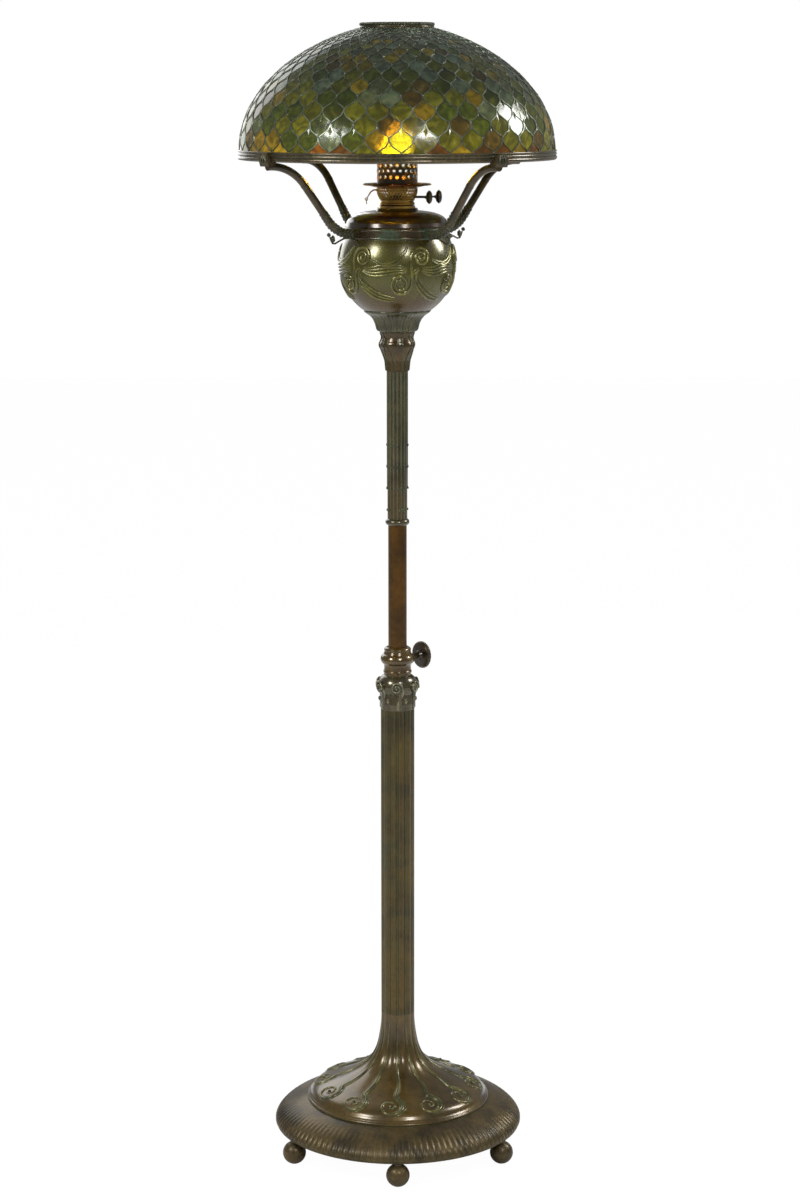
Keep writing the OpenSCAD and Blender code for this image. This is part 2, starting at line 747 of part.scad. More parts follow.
// Sleeve whose reeds end at four levels, the middle ones of each quarter highest
reed_turn = -17.5;
reed_foot = 13;
reed_step = 31.8;
reed_share = reed_count / 4;
function reed_level(k) = round(reed_share / 2 - abs(k - (reed_share - 1) / 2) - 0.5);
module reed_section(level) {
    difference() {
        union() {
            circle(r = sleeve_r);
            for (quarter = [0:3], k = [0:reed_share - 1])
                if (reed_level(k) < level)
                    rotate(reed_turn - 90 + 90 * quarter + (k - (reed_share - 1) / 2) * 360 / reed_count)
                        translate([sleeve_r - reed_d * 0.1, 0]) circle(d = reed_d);
        }
        circle(r = tube_r);
    }
}
module stem_sleeve() {
    levels = reed_share / 2;
    heights = [0, for (level = [0:levels - 1]) reed_foot + level * reed_step, sleeve_len];
    color(verdigris)
    for (level = [0:levels])
        translate([0, 0, sleeve_z + heights[level]])
            linear_extrude(heights[level + 1] - heights[level]) reed_section(level);
}

// Turned knuckle between sleeve and cup
module knuckle() {
    waist_z = knuckle_z + knuckle_h * 0.85;
    profile = concat(
        [[tube_r, knuckle_z], [16.7, knuckle_z], [18.1, knuckle_z + 15]],
        arc_points([17.1, knuckle_z + knuckle_h * 0.67], 9, -40, 38, 6),
        [[22.5, waist_z], [23.4, waist_z + 3]],
        [[25, knuckle_z + knuckle_h - 2], [25.4, knuckle_z + knuckle_h], [tube_r, knuckle_z + knuckle_h]]
    );
    color(verdigris) rotate_extrude() polygon(profile);
}

// Fluted cup under the urn
function flute_ring(r, z, cut) = [
    for (j = [0:2 * flute_count - 1]) around(r - (j % 2) * cut, j * 180 / flute_count, z)
];
function cup_ring(r, z) = [for (j = [0:flute_count - 1]) around(r, j * 360 / flute_count, z)];
module font_cup() {
    low_r = 31;
    lip_h = 3;
    bore = tube_r + 0.15;
    rings = [
        cup_ring(bore, cup_z),
        cup_ring(low_r - 5.5, cup_z),
        flute_ring(low_r, cup_z + 4, 0.8),
        flute_ring(low_r + 3, cup_z + cup_h * 0.4, 1.4),
        flute_ring(low_r + 7.4, cup_z + cup_h * 0.69, 1.6),
        flute_ring(cup_r - 3.6, cup_z + cup_h - lip_h - 3, 1.6),
        flute_ring(cup_r, cup_z + cup_h - lip_h, 0.6),
        cup_ring(cup_r, cup_z + cup_h - lip_h * 0.6),
        cup_ring(cup_r - 0.5, cup_z + cup_h),
        cup_ring(bore, cup_z + cup_h)
    ];
    color(verdigris) ring_skin(rings);
}

// Nut that holds urn, cup and knuckle on the tube
module stem_nut() {
    color(iron_tone)
    translate([0, 0, urn_z + urn_wall]) difference() {
        cylinder(r = 22, h = 9, $fn = 6);
        translate([0, 0, -1]) cylinder(r = tube_r + run_fit, h = 11);
    }
}

// Round urn, open above, that holds the oil pot
urn_arc_r = urn_r - 3;
module urn() {
    color(verdigris) rotate_extrude() difference() {
        intersection() {
            translate([3, urn_center_z]) circle(r = urn_arc_r);
            translate([0, urn_z]) square([urn_r + 5, urn_h]);
        }
        intersection() {
            translate([3, urn_center_z]) circle(r = urn_arc_r - urn_wall);
            translate([0, urn_z + urn_wall]) square([urn_r + 5, urn_h]);
        }
        translate([0, urn_z - 1]) square([tube_r, urn_wall + 2]);
        translate([0, urn_z - 1]) square([3.1, urn_h + 5]);
    }
}

// Band over the urn, with a flat pad for each arm
module arm_band() {
    color(verdigris) difference() {
        union() {
            translate([0, 0, band_z]) rotate_extrude() union() {
                translate([band_bore_r, 0]) square([band_r - band_bore_r - 1, band_h]);
                translate([band_r - 2, 2.4]) circle(r = 2.4);
                translate([band_r - 2, band_h - 2.4]) circle(r = 2.4);
            }
            around_axis(arm_count, arm_turn) translate([band_bore_r + 2, 0, arm_start_z])
                rotate([0, 90, 0]) cylinder(d = arm_d + 1, h = arm_root_r - band_bore_r - 2);
        }
        around_axis(arm_count, arm_turn) translate([band_bore_r - 2, 0, arm_start_z])
            rotate([0, 90, 0]) cylinder(r = pin_hole_r, h = 20);
    }
}

// Pins that hold the arms to the band
module arm_pins() {
    color(iron_tone)
    around_axis(arm_count, arm_turn) translate([band_bore_r + 1, 0, arm_start_z])
        rotate([0, 90, 0]) cylinder(r = pin_hole_r - run_fit, h = 10);
}

// Four S-shaped arms, each with a straight middle between two buds and a leaf clip that holds the shade's rim
module shade_arms() {
    color(verdigris)
    around_axis(arm_count, arm_turn) difference() {
        union() {
            translate([arm_root_r, 0, arm_start_z]) rotate([0, 90, 0])
                cylinder(d = arm_d, h = arm_start_r - arm_root_r);
            translate([arm_low_center[0], 0, arm_low_center[1]]) rotate([90, 0, 0])
                rotate_extrude(angle = arm_rise - bud_gap, start = -90)
                    translate([arm_bend_low, 0]) circle(d = arm_d);
            translate([arm_low_end[0], 0, arm_low_end[1]]) {
                sphere(d = bud_d);
                rotate([0, 90 - arm_rise, 0]) translate([0, 0, bud_gap])
                    cylinder(d = arm_d, h = arm_straight - 2 * bud_gap);
            }
            translate([arm_high_start[0], 0, arm_high_start[1]]) sphere(d = bud_d);
            translate([arm_high_center[0], 0, arm_high_center[1]]) rotate([90, 0, 0])
                rotate_extrude(angle = arm_fall - bud_gap, start = 90 + arm_end_angle)
                    translate([arm_bend_high, 0]) circle(d = arm_d);
            clip();
        }
        translate([arm_root_r - 1, 0, arm_start_z]) rotate([0, 90, 0]) cylinder(r = pin_hole_r, h = 5.3);
    }
}

// Clip: a ledge under the rim and a leaf outside it
clip_t = 5;
module clip() {
    leaf_r = rim_r + 0.5;
    ledge_r = rim_r - 9;
    intersection() {
        rotate([90, 0, 0]) translate([0, 0, -clip_w / 2]) linear_extrude(clip_w) polygon([
            [ledge_r, rim_z], [ledge_r + 2, rim_z - 5], [leaf_r + clip_t - 2, rim_z - 6],
            [leaf_r + clip_t, rim_z], [leaf_r + clip_t - 1, rim_z + clip_leaf],
            [leaf_r + clip_t - 3, rim_z + clip_leaf + 1], [leaf_r, rim_z + clip_leaf - 1], [leaf_r, rim_z]
        ]);
        union() {
            translate([rim_r - 30, -clip_w / 2, rim_z - 20]) cube([60, clip_w, 20]);
            translate([rim_r - 20, 0, rim_z + clip_leaf - clip_w / 2 + 1]) rotate([0, 90, 0])
                cylinder(d = clip_w, h = 40);
        }
    }
}

// Oil pot that hangs in the urn
pot_r = band_bore_r - 1.2;
module oil_pot() {
    low_z = lid_z - pot_depth;
    corner = 26;
    color(brass_tone) rotate_extrude() difference() {
        union() {
            translate([0, low_z]) square([pot_r - corner, pot_depth]);
            translate([0, low_z + corner]) square([pot_r, pot_depth - corner]);
            translate([pot_r - corner, low_z + corner]) circle(r = corner);
        }
        translate([0, low_z + pot_wall]) square([pot_r - corner, pot_depth]);
        translate([0, low_z + corner]) square([pot_r - pot_wall, pot_depth]);
        translate([pot_r - corner, low_z + corner]) circle(r = corner - pot_wall);
    }
}

// Domed lid that rests on the band and closes the pot
lid_wall = 1.6;
module pot_lid() {
    lid_curve = [[band_r - 2.4, 1.8], [band_r - 3, 17], [54, 21], [lid_neck_r + 1.5, lid_h - 2]];
    inner_end = [lid_neck_r + 1.5, lid_h - 2 - lid_wall];
    inner_curve = [[pot_r - pot_wall, 0], [pot_r - 4, 14], [53, 18.6], inner_end];
    outer = [for (i = [0:8]) curve_point(lid_curve, i / 8)];
    inner = [for (i = [8:-1:0]) curve_point(inner_curve, i / 8)];
    neck_top = lid_h + 1.5;
    hole_r = burner_spigot_r + 3;
    neck = [[lid_neck_r, neck_top], [hole_r, neck_top], [hole_r, lid_h - 2 - lid_wall]];
    color(warm_bronze) translate([0, 0, lid_z])
        rotate_extrude() polygon(concat([[pot_r - pot_wall, 0], [band_r - 2.4, 0]], outer, neck, inner));
}

// Threaded ring on the lid that takes the burner
module pot_collar() {
    color(brass_tone) translate([0, 0, burner_z - pot_collar_h]) difference() {
        union() {
            cylinder(r = burner_spigot_r + 3 - run_fit, h = pot_collar_h - rest_gap);
            translate([0, 0, lid_h + 1.5 + lid_z - burner_z + pot_collar_h])
                cylinder(r = burner_spigot_r + 6, h = burner_z - rest_gap - lid_z - lid_h - 1.5);
        }
        translate([0, 0, -1]) cylinder(r = burner_spigot_r + run_fit, h = pot_collar_h + 2);
    }
}

// Burner body: screwed spigot, bright collar and the plate that holds the wick tubes
module burner_base() {
    plate_t = 2;
    tube_hole = [wick_w + 2 * (tube_gap + tube_skin), wick_t + 2 * (tube_gap + tube_skin)];
    color(brass_tone) difference() {
        union() {
            translate([0, 0, burner_z - pot_collar_h]) cylinder(r = burner_spigot_r, h = pot_collar_h + 1);
            translate([0, 0, burner_z]) rotate_extrude() polygon(concat(
                [[0, 0], [burner_r - 3, 0]],
                arc_points([burner_r - 2.4, 2.6], 2.4, -70, 70, 5),
                [[burner_r - 1.6, burner_ring_h], [0, burner_ring_h]]
            ));
        }
        translate([0, 0, burner_z - pot_collar_h - 1])
            cylinder(r = burner_spigot_r - 2, h = pot_collar_h + 1);
        translate([0, 0, burner_z + plate_t]) cylinder(r = burner_r - 5, h = burner_ring_h);
        for (side = [-1, 1])
            translate([-tube_hole[0] / 2, side * wick_y - tube_hole[1] / 2, burner_z - 1])
                cube([tube_hole[0], tube_hole[1], 6]);
    }
}

// Bore of the ears that hold the snuffer's pivot
module lever_ears(clearance, length) {
    translate([-lever_x, length / 2, lever_z - basket_z]) rotate([90, 0, 0])
        cylinder(r = pivot_r + clearance, h = length);
}

// Pierced basket that lets air in below the flame
module basket() {
    low_r = burner_r - 1.6;
    holes = 24;
    color(brass_tone) translate([0, 0, basket_z]) difference() {
        union() {
            rotate_extrude() polygon([
                [low_r - 1.2, 0], [low_r, 0], [low_r, 2.5], [basket_r, basket_h - 6], [basket_r, basket_h],
                [basket_r - 1.2, basket_h], [basket_r - 1.2, basket_h - 6], [low_r - 1.2, 2.5]
            ]);
            for (side = [-1, 1])
                translate([-lever_x - 2, side * (lever_gap + 0.8) - 0.8, lever_z - basket_z - 2.5])
                    cube([4.6, 1.6, 5]);
        }
        for (i = [0:holes - 1])
            rotate([0, 0, (i + 0.5) * 360 / holes]) translate([low_r - 3, 0, 9.6])
                rotate([0, 90, 0]) cylinder(r = 1.7, h = 9);
        for (side = [-1, 1])
            translate([low_r - 10, side * winder_y, winder_z - basket_z]) rotate([0, 90, 0])
                cylinder(r = winder_shaft_r + run_fit, h = 20);
        translate([-basket_r - 3, -lever_gap, lever_z - basket_z - 4.5]) cube([8, 2 * lever_gap, 7.5]);
        lever_ears(run_fit, 20);
    }
}

// Dished flange with a copper edge that carries gallery and chimney
module flange() {
    color(copper_tone) translate([0, 0, flange_z]) difference() {
        rotate_extrude() polygon([
            [basket_r - 6, 0], [basket_r + 3, 0], [flange_r - 8, 2.4], [flange_r - 1.5, 2.8],
            [flange_r, 4], [flange_r - 1.5, 5.2], [flange_r - 9, 4.6], [basket_r + 4, flange_h],
            [basket_r - 6, flange_h]
        ]);
        translate([0, 0, -1]) cylinder(r = flame_dome_r, h = flange_h + 2);
    }
}

// Perforated gallery that holds the chimney
module gallery() {
    holes = 20;
    row_pitch = (gallery_h - 14) / 2;
    color(warm_bronze) translate([0, 0, gallery_z]) difference() {
        cylinder(r = gallery_r, h = gallery_h);
        translate([0, 0, -1]) cylinder(r = gallery_r - 1, h = gallery_h + 2);
        for (row = [0:2], i = [0:holes - 1])
            rotate([0, 0, (i + row / 2) * 360 / holes]) translate([gallery_r - 3, 0, 9 + row_pitch * row])
                rotate([0, 90, 0]) cylinder(r = 2.6, h = 5);
    }
}

// Dome with two slots that shapes the flames
module flame_dome() {
    dome_rise = 10;
    slot_y = wick_t + 2 * (tube_gap + tube_skin) + 2;
    color(brass_tone) translate([0, 0, gallery_z - flange_h]) difference() {
        rotate_extrude() difference() {
            union() {
                square([flame_dome_r - run_fit, flange_h + 2]);
                polygon([[0, flange_h], [flame_dome_r - run_fit, flange_h + 2],
                    [flame_dome_r - 5, flange_h + 7], [10, flange_h + dome_rise], [0, flange_h + dome_rise]]);
            }
            translate([0, -1]) square([flame_dome_r - 1.2, flange_h + 3]);
            polygon([[0, flange_h - 1], [flame_dome_r - 1.2, flange_h + 1],
                [flame_dome_r - 6, flange_h + 6], [9, flange_h + dome_rise - 1],
                [0, flange_h + dome_rise - 1]]);
        }
        for (side = [-1, 1])
            translate([-wick_w / 2 - 4, side * wick_y - slot_y / 2, flange_h])
                cube([wick_w + 8, slot_y, 20]);
    }
}

// Two flat tubes that guide the wicks, each with a window for its wheel
module wick_tubes() {
    inner = [wick_w + 2 * tube_gap, wick_t + 2 * tube_gap];
    outer = inner + 2 * [tube_skin, tube_skin];
    tube_h = wick_top_z - 2 - burner_z;
    color(brass_tone)
    for (side = [-1, 1])
        translate([0, side * wick_y, burner_z]) difference() {
            translate([-outer[0] / 2, -outer[1] / 2, 0]) cube([outer[0], outer[1], tube_h]);
            translate([-inner[0] / 2, -inner[1] / 2, -1]) cube([inner[0], inner[1], tube_h + 2]);
            translate([-8, side > 0 ? 0.3 : -outer[1] - 0.3, winder_z - burner_z - 5])
                cube([16, outer[1], 10]);
        }
}

// Cotton wicks
module wick(side) {
    color(cotton)
    translate([-wick_w / 2, side * wick_y - wick_t / 2, wick_foot_z])
        cube([wick_w, wick_t, wick_top_z - wick_foot_z]);
}
module front_wick() {
    wick(-1);
}
module rear_wick() {
    wick(1);
}

// Winder: shaft, toothed wheel and knob with a conical hub
module winder(side, knob_at) {
    notches = 12;
    color(brass_tone)
    translate([0, side * winder_y, winder_z]) rotate([0, 90, 0]) {
        translate([0, 0, -9]) cylinder(r = winder_shaft_r, h = knob_at + 9);
        difference() {
            translate([0, 0, -6]) cylinder(r = wheel_r, h = 12);
            for (i = [0:notches - 1])
                rotate([0, 0, i * 360 / notches]) translate([wheel_r, 0, -7]) cylinder(r = 0.5, h = 14);
        }
        translate([0, 0, knob_at - 5]) cylinder(r1 = winder_shaft_r + 0.6, r2 = wick_knob_d * 0.2, h = 5);
        translate([0, 0, knob_at - 0.2]) rotate_extrude() polygon([
            [0, 0], [wick_knob_d / 2 - 0.8, 0], [wick_knob_d / 2, 0.8], [wick_knob_d / 2, 2],
            [wick_knob_d / 2 - 0.8, 2.8], [wick_knob_d * 0.2, 2.8], [1.2, 3.4], [0, 3.4]
        ]);
    }
}
module front_winder() {
    winder(-1, near_knob_x);
}
module rear_winder() {
    winder(1, far_knob_x);
}

// Sleeve round both wick tubes that rises to put out the flames
module snuffer() {
    inner = [2 * snuffer_x, 2 * wick_y + wick_t + 2 * (tube_gap + tube_skin + snuffer_gap)];
    color(brass_tone)
    translate([0, 0, lever_z - 2]) difference() {
        translate([-inner[0] / 2 - 1, -inner[1] / 2 - 1, 0]) cube([inner[0] + 2, inner[1] + 2, 7]);
        translate([-inner[0] / 2, -inner[1] / 2, -1]) cube([inner[0], inner[1], 9]);
    }
}

// Lever that lifts the snuffer, with its pivot pin and an eye at its end
module snuffer_lever() {
    color(brass_tone)
    translate([-lever_x, 0, lever_z]) rotate([90, 0, 0]) {
        translate([0, 0, -lever_gap - 1.5]) cylinder(r = pivot_r, h = 2 * lever_gap + 3);
        translate([0, 0, -1.2]) linear_extrude(2.4) difference() {
            union() {
                circle(r = 1.9);
                polygon([[0, -1.6], [lever_arm + 0.3, -3.4], [lever_arm + 0.3, -2.3], [0, 1]]);
                polygon([
                    [0, -1], [-4, -1], [-8, -3.4], [0.6 - lever_reach, -lever_drop],
                    [-0.6 - lever_reach, -lever_drop], [-10, -2.4], [-5, 1], [0, 1.4]
                ]);
                translate([-lever_reach, -lever_drop]) circle(r = 2.4);
            }
            translate([-lever_reach, -lever_drop]) circle(r = 1.2);
        }
    }
}

// Small wire ring that hangs in the lever's eye
module lever_ring() {
    wire_r = 0.6;
    hang = 3.4;
    color(brass_tone)
    translate([-lever_x - lever_reach, 0, lever_z - lever_drop - hang]) rotate([0, 90, 0])
        rotate_extrude() translate([hang - 0.2, 0]) circle(r = wire_r);
}

// Glass chimney, with a foot in the gallery, a bulge and a straight tube
chimney_foot_r = gallery_r - 2;
module chimney() {
    wall = 1.8;
    low = gallery_z + 0.3;
    swell = [[chimney_foot_r, gallery_h + 2], [chimney_bulge_r + 3, gallery_h + 14],
        [chimney_bulge_r + 3, gallery_h + 30], [chimney_top_r, gallery_h + 62]];
    outer = [for (i = [0:10]) curve_point(swell, i / 10)];
    top = [[chimney_top_r, chimney_h], [chimney_top_r - wall, chimney_h]];
    inner = [for (i = [10:-1:0]) outer[i] - [wall, 0]];
    color(clear_glass) translate([0, 0, low]) rotate_extrude()
        polygon(concat([[chimney_foot_r - wall, 0], [chimney_foot_r, 0]], outer, top, inner));
}

// Moulded rim band that carries the glass
module rim_band() {
    color(bronze) translate([0, 0, rim_z]) rotate_extrude() union() {
        translate([shade_r - glass_t - 1, 0]) square([rim_r - shade_r + glass_t - 1, rim_h]);
        translate([rim_r - 3.2, 3.2]) circle(r = 3.2);
        translate([rim_r - 2.6, rim_h * 0.6]) circle(r = 2.2);
        translate([rim_r - 1.8, rim_h - 1.4]) circle(r = 1.4);
    }
}

// Leaded glass dome: rows of tiles spaced so that each keeps its shape as the dome narrows
crown_psi = ln((1 + sqrt(1 - pow(crown_r / shade_r, 2))) / (crown_r / shade_r));
function tile_ring(row, inset) = let (
    psi = crown_psi * row / tile_rows,
    edge = row == 0 || row == tile_rows,
    r = edge ? shade_r * sech(psi) - inset : (shade_r - inset) * sech(psi),
    z = (shade_rise - (edge ? 0 : inset)) * dome_share(sech(psi))
) [for (j = [0:tile_count - 1]) around(r, tile_turn + (j + (row % 2) / 2) * 360 / tile_count, glass_z + z)];
function tile_strip(a, b, i, k) =
    i % 2 == 1 && k % 2 == 0 ? early_faces(a, b, tile_count) : ring_faces(a, b, tile_count);
module shade_glass() {
    rows = concat([for (row = [0:tile_rows]) row], [for (row = [tile_rows:-2:1]) row], [0]);
    rings = [for (i = [0:len(rows) - 1]) tile_ring(rows[i], i > tile_rows ? glass_t : 0)];
    color(glass_green) polyhedron(
        points = [for (ring = rings) each ring],
        faces = [for (i = [0:len(rows) - 1]) let (next = (i + 1) % len(rows))
            each tile_strip(i * tile_count, next * tile_count, rows[i], rows[next])]
    );
}

// Crown ring with a roped edge and a lip inside the glass
module crown_ring() {
    crown_z = glass_z + shade_rise * dome_share(crown_r / shade_r);
    color(bronze) translate([0, 0, crown_z]) rotate_extrude() union() {
        translate([crown_r - 8, 0]) square([8, crown_h - 2]);
        translate([crown_r - 2, crown_h - 2.2]) circle(r = 2.2);
        translate([crown_r - 0.6, 1.6]) circle(r = 1.6);
        translate([crown_r - 8, -6]) square([2.4, 7]);
    }
}

ball_feet();
foot_nuts();
base_plate();
base_weight();
tie_tube();
base_washer();
base_nut();
column_foot();
column();
capital();
clamp_collar();
collet();
clamp_pad();
thumbscrew();
slide_tube();
tube_guide();
bead_ring();
stem_sleeve();
knuckle();
font_cup();
stem_nut();
urn();
arm_band();
arm_pins();
shade_arms();
oil_pot();
pot_lid();
pot_collar();
burner_base();
basket();
flange();
gallery();
flame_dome();
wick_tubes();
front_wick();
rear_wick();
front_winder();
rear_winder();
snuffer();
snuffer_lever();
lever_ring();
chimney();
rim_band();
shade_glass();
crown_ring();
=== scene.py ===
"""Dresses the oil-burning floor lamp: its leaded shade, patinated bronze, reliefs, burner and studio."""

import math
import random

import bmesh
import bpy
from mathutils import Matrix, Vector


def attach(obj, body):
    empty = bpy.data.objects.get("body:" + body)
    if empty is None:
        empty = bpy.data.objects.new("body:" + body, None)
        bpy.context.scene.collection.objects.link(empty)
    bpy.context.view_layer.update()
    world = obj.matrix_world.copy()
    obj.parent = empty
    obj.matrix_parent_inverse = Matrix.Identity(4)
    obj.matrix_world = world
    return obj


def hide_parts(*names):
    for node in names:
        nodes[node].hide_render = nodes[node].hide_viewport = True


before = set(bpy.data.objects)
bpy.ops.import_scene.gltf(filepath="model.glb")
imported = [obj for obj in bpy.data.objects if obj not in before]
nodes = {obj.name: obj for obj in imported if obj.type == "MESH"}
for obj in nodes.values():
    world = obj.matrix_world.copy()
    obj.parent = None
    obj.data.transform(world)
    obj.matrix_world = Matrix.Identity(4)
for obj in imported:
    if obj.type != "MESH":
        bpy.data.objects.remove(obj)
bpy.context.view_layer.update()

MM = 0.001
UP = Vector((0, 0, 1))
scene = bpy.context.scene
rand = random.Random(11)

# Heights and radii of the solids, in millimetres
PLATE_Z, DOME_Z, COLUMN_Z, CAPITAL_Z = 35.0, 75.0, 208.0, 678.0
DOME_R, DOME_H, COLUMN_R = 132.5, 133.0, 25.5
SLEEVE_Z, KNUCKLE_Z, CUP_Z = 963.0, 1180.0, 1237.0
URN_MIDDLE_Z, URN_ARC, URN_GIRTH_R = 1334.92, 81.0, 84.0
ARM_Z, ARM_ROOT_R = 1380.0, 82.8
BASKET_Z = 1425.0
WINDER_Y, WINDER_Z, WICK_Y = 10.15, 1430.0, 6.0
GLASS_Z, CROWN_Z = 1497.79, 1668.09
SHADE_R, SHADE_RISE, SHADE_POWER, CROWN_R = 226.0, 177.8, 1.7, 52.0

# Counts, and angles in degrees from the front towards the right
LOBES, STEM_TURN, CURL_TURN = 12, -1.0, -5.5
TILES, TILE_ROWS, TILE_TURN = 42, 17, 1.55
ARM_TURN, ARM_COUNT = 38.0, 4


# Shapes
def around(r, angle, z):
    """Point in metres at a radius, an angle turned from the front towards the right, and a height."""
    a = math.radians(angle)
    return Vector((r * math.sin(a), -r * math.cos(a), z)) * MM


def clear():
    bpy.ops.object.select_all(action="DESELECT")


def choose(obj):
    clear()
    obj.select_set(True)
    bpy.context.view_layer.objects.active = obj


def smooth(obj, angle=None):
    """Smooth shading all over, or only where faces meet under an angle."""
    choose(obj)
    if angle is None:
        bpy.ops.object.shade_smooth()
    else:
        bpy.ops.object.shade_smooth_by_angle(angle=math.radians(angle))
    clear()


def turn_outwards(obj, merge=None):
    """Turns the faces of a mesh outwards, once its doubles are closed if merge gives a distance."""
    choose(obj)
    bpy.ops.object.mode_set(mode="EDIT")
    bpy.ops.mesh.select_all(action="SELECT")
    if merge:
        bpy.ops.mesh.remove_doubles(threshold=merge)
    bpy.ops.mesh.normals_make_consistent(inside=False)
    bpy.ops.object.mode_set(mode="OBJECT")
    clear()


def settle_place():
    """Puts the place, turn and size of the active object into its mesh."""
    bpy.ops.object.transform_apply(location=True, rotation=True, scale=True)


def finish_piece(obj, name, body, material, stands_for=()):
    obj.name = name
    obj.data.name = name
    obj.data.materials.clear()
    obj.data.materials.append(material)
    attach(obj, body)
    if stands_for:
        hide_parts(*stands_for)


def turned(profile, steps):
    """Closed ring that is drawn out along a profile of radii and heights, in millimetres."""
    clear()
    r, z = profile[0]
    bpy.ops.mesh.primitive_circle_add(vertices=steps, radius=r * MM, location=(0, 0, z * MM))
    obj = bpy.context.object
    settle_place()
    bpy.ops.object.mode_set(mode="EDIT")
    bpy.ops.mesh.select_all(action="SELECT")
    for end_r, end_z in profile[1:] + profile[:1]:
        bpy.ops.mesh.extrude_edges_move(TRANSFORM_OT_translate={"value": (0, 0, (end_z - z) * MM)})
        bpy.ops.transform.resize(value=(end_r / r, end_r / r, 1), center_override=(0, 0, end_z * MM))
        r, z = end_r, end_z
    bpy.ops.object.mode_set(mode="OBJECT")
    turn_outwards(obj, merge=0.00002)
    return obj


def tubes(paths, sides=8):
    """Round rods along paths of points in metres, with their radii in millimetres."""
    clear()
    curve = bpy.data.curves.new("rods", "CURVE")
    curve.dimensions = "3D"
    curve.bevel_depth = MM
    curve.bevel_resolution = (sides - 4) // 2
    curve.use_fill_caps = True
    for points, radii in paths:
        spline = curve.splines.new("POLY")
        spline.points.add(len(points) - 1)
        for k, point in enumerate(points):
            spline.points[k].co = (*point, 1)
            spline.points[k].radius = radii[k] if isinstance(radii, (list, tuple)) else radii
    obj = bpy.data.objects.new("rods", curve)
    scene.collection.objects.link(obj)
    choose(obj)
    bpy.ops.object.convert(target="MESH")
    obj = bpy.context.object
    smooth(obj)
    return obj


def bead_mesh():
    clear()
    bpy.ops.mesh.primitive_ico_sphere_add(subdivisions=1, radius=1)
    bead = bpy.context.object
    mesh = bead.data
    bpy.data.objects.remove(bead)
    return mesh


def object_from(built, name):
    """Object of a finished bmesh."""
    mesh = bpy.data.meshes.new(name)
    built.to_mesh(mesh)
    built.free()
    obj = bpy.data.objects.new(name, mesh)
    scene.collection.objects.link(obj)
    return obj


def copies(source, places):
    """One piece of many copies of a mesh, each set by a matrix."""
    built = bmesh.new()
    for place in places:
        first = len(built.verts)
        built.from_mesh(source)
        built.verts.ensure_lookup_table()
        bmesh.ops.transform(built, matrix=place, verts=built.verts[first:])
    obj = object_from(built, "copies")
    smooth(obj)
    return obj


def ball_at(point, size, flat, out=UP):
    """Matrix for a bead of a size in millimetres, made flat or tall along a direction."""
    turn = out.to_track_quat("Z", "Y").to_matrix().to_4x4()
    return Matrix.Translation(point) @ turn @ Matrix.Diagonal((size * MM, size * MM, size * flat * MM, 1))


def curve_point(p, t):
    """Point on the smooth curve that four points guide."""
    q = 1 - t
    shares = (q**3, 3 * t * q * q, 3 * t * t * q, t**3)
    return tuple(sum(share * point[i] for share, point in zip(shares, p)) for i in range(2))


def smoothstep(low, high, x):
    """Smooth step from 0 at low to 1 at high, which may also be the lower one."""
    t = max(0.0, min(1.0, (x - low) / (high - low)))
    return t * t * (3 - 2 * t)


def push_out(obj, amount):
    """Moves each vertex along its radius by amount(radius, angle, height), in millimetres and degrees."""
    for vertex in obj.data.vertices:
        x, y, z = (c / MM for c in vertex.co)
        r = math.hypot(x, y)
        angle = math.degrees(math.atan2(x, -y))
        rise = amount(r, angle, z)
        if rise and r > 0:
            vertex.co.x += rise * MM * x / r
            vertex.co.y += rise * MM * y / r
    obj.data.update()


# Materials
COLOR, NUMBER = "NodeSocketColor", "NodeSocketFloat"

# Heights in metres where a finish begins to change and where it has changed
URN_BELLY, URN_SHOULDER = (1.3, 1.34), (1.37, 1.4)
WICK_CHAR, FLAME_DEEP, FLAME_BRIGHT = (1.455, 1.4625), (1.468, 1.54), (1.486, 1.496)
# SHADE_GLOW: heights where the glass's painted glow of the flames is gone, and where it is full
SHADE_GLOW = (1.61, 1.49)


def tone(code):
    """Linear colour from a web colour."""
    parts = [int(code[i : i + 2], 16) / 255 for i in (1, 3, 5)]
    return tuple(c / 12.92 if c <= 0.04045 else ((c + 0.055) / 1.055) ** 2.4 for c in parts) + (1.0,)


def feed(tree, socket, value):
    """Gives a socket a value, or a link from another socket."""
    if isinstance(value, bpy.types.NodeSocket):
        tree.links.new(value, socket)
    else:
        socket.default_value = value


def put(tree, kind, inputs=None, **settings):
    """Adds a shader node, with sockets given by name or number as a value or as a link."""
    node = tree.nodes.new(kind)
    for key, value in settings.items():
        setattr(node, key, value)
    for key, value in (inputs or {}).items():
        feed(tree, node.inputs[key], value)
    return node


def ramp(tree, value, low, high, to_low=0.0, to_high=1.0):
    """Smooth step of a value between two limits."""
    return put(
        tree, "ShaderNodeMapRange", {"Value": value, 1: low, 2: high, 3: to_low, 4: to_high},
        interpolation_type="SMOOTHSTEP",
    ).outputs[0]


def blend_colour(tree, factor, first, second, how="MIX"):
    node = put(tree, "ShaderNodeMix", data_type="RGBA", blend_type=how)
    for key, value in ((0, factor), (6, first), (7, second)):
        feed(tree, node.inputs[key], value)
    return node.outputs[2]


def sums(tree, how, *values):
    return put(tree, "ShaderNodeMath", dict(enumerate(values)), operation=how).outputs[0]


def object_place(tree):
    return put(tree, "ShaderNodeTexCoord").outputs["Object"]


def height_of(tree, place):
    return put(tree, "ShaderNodeSeparateXYZ", {0: place}).outputs[2]


def noise(tree, place, scale, detail, **more):
    inputs = {"Vector": place, "Scale": scale, "Detail": detail, **more}
    return put(tree, "ShaderNodeTexNoise", inputs).outputs[0]


def bump(tree, skin, height, distance, strength=1.0):
    relief = put(tree, "ShaderNodeBump", {"Height": height, "Distance": distance, "Strength": strength})
    tree.links.new(relief.outputs[0], skin.inputs["Normal"])


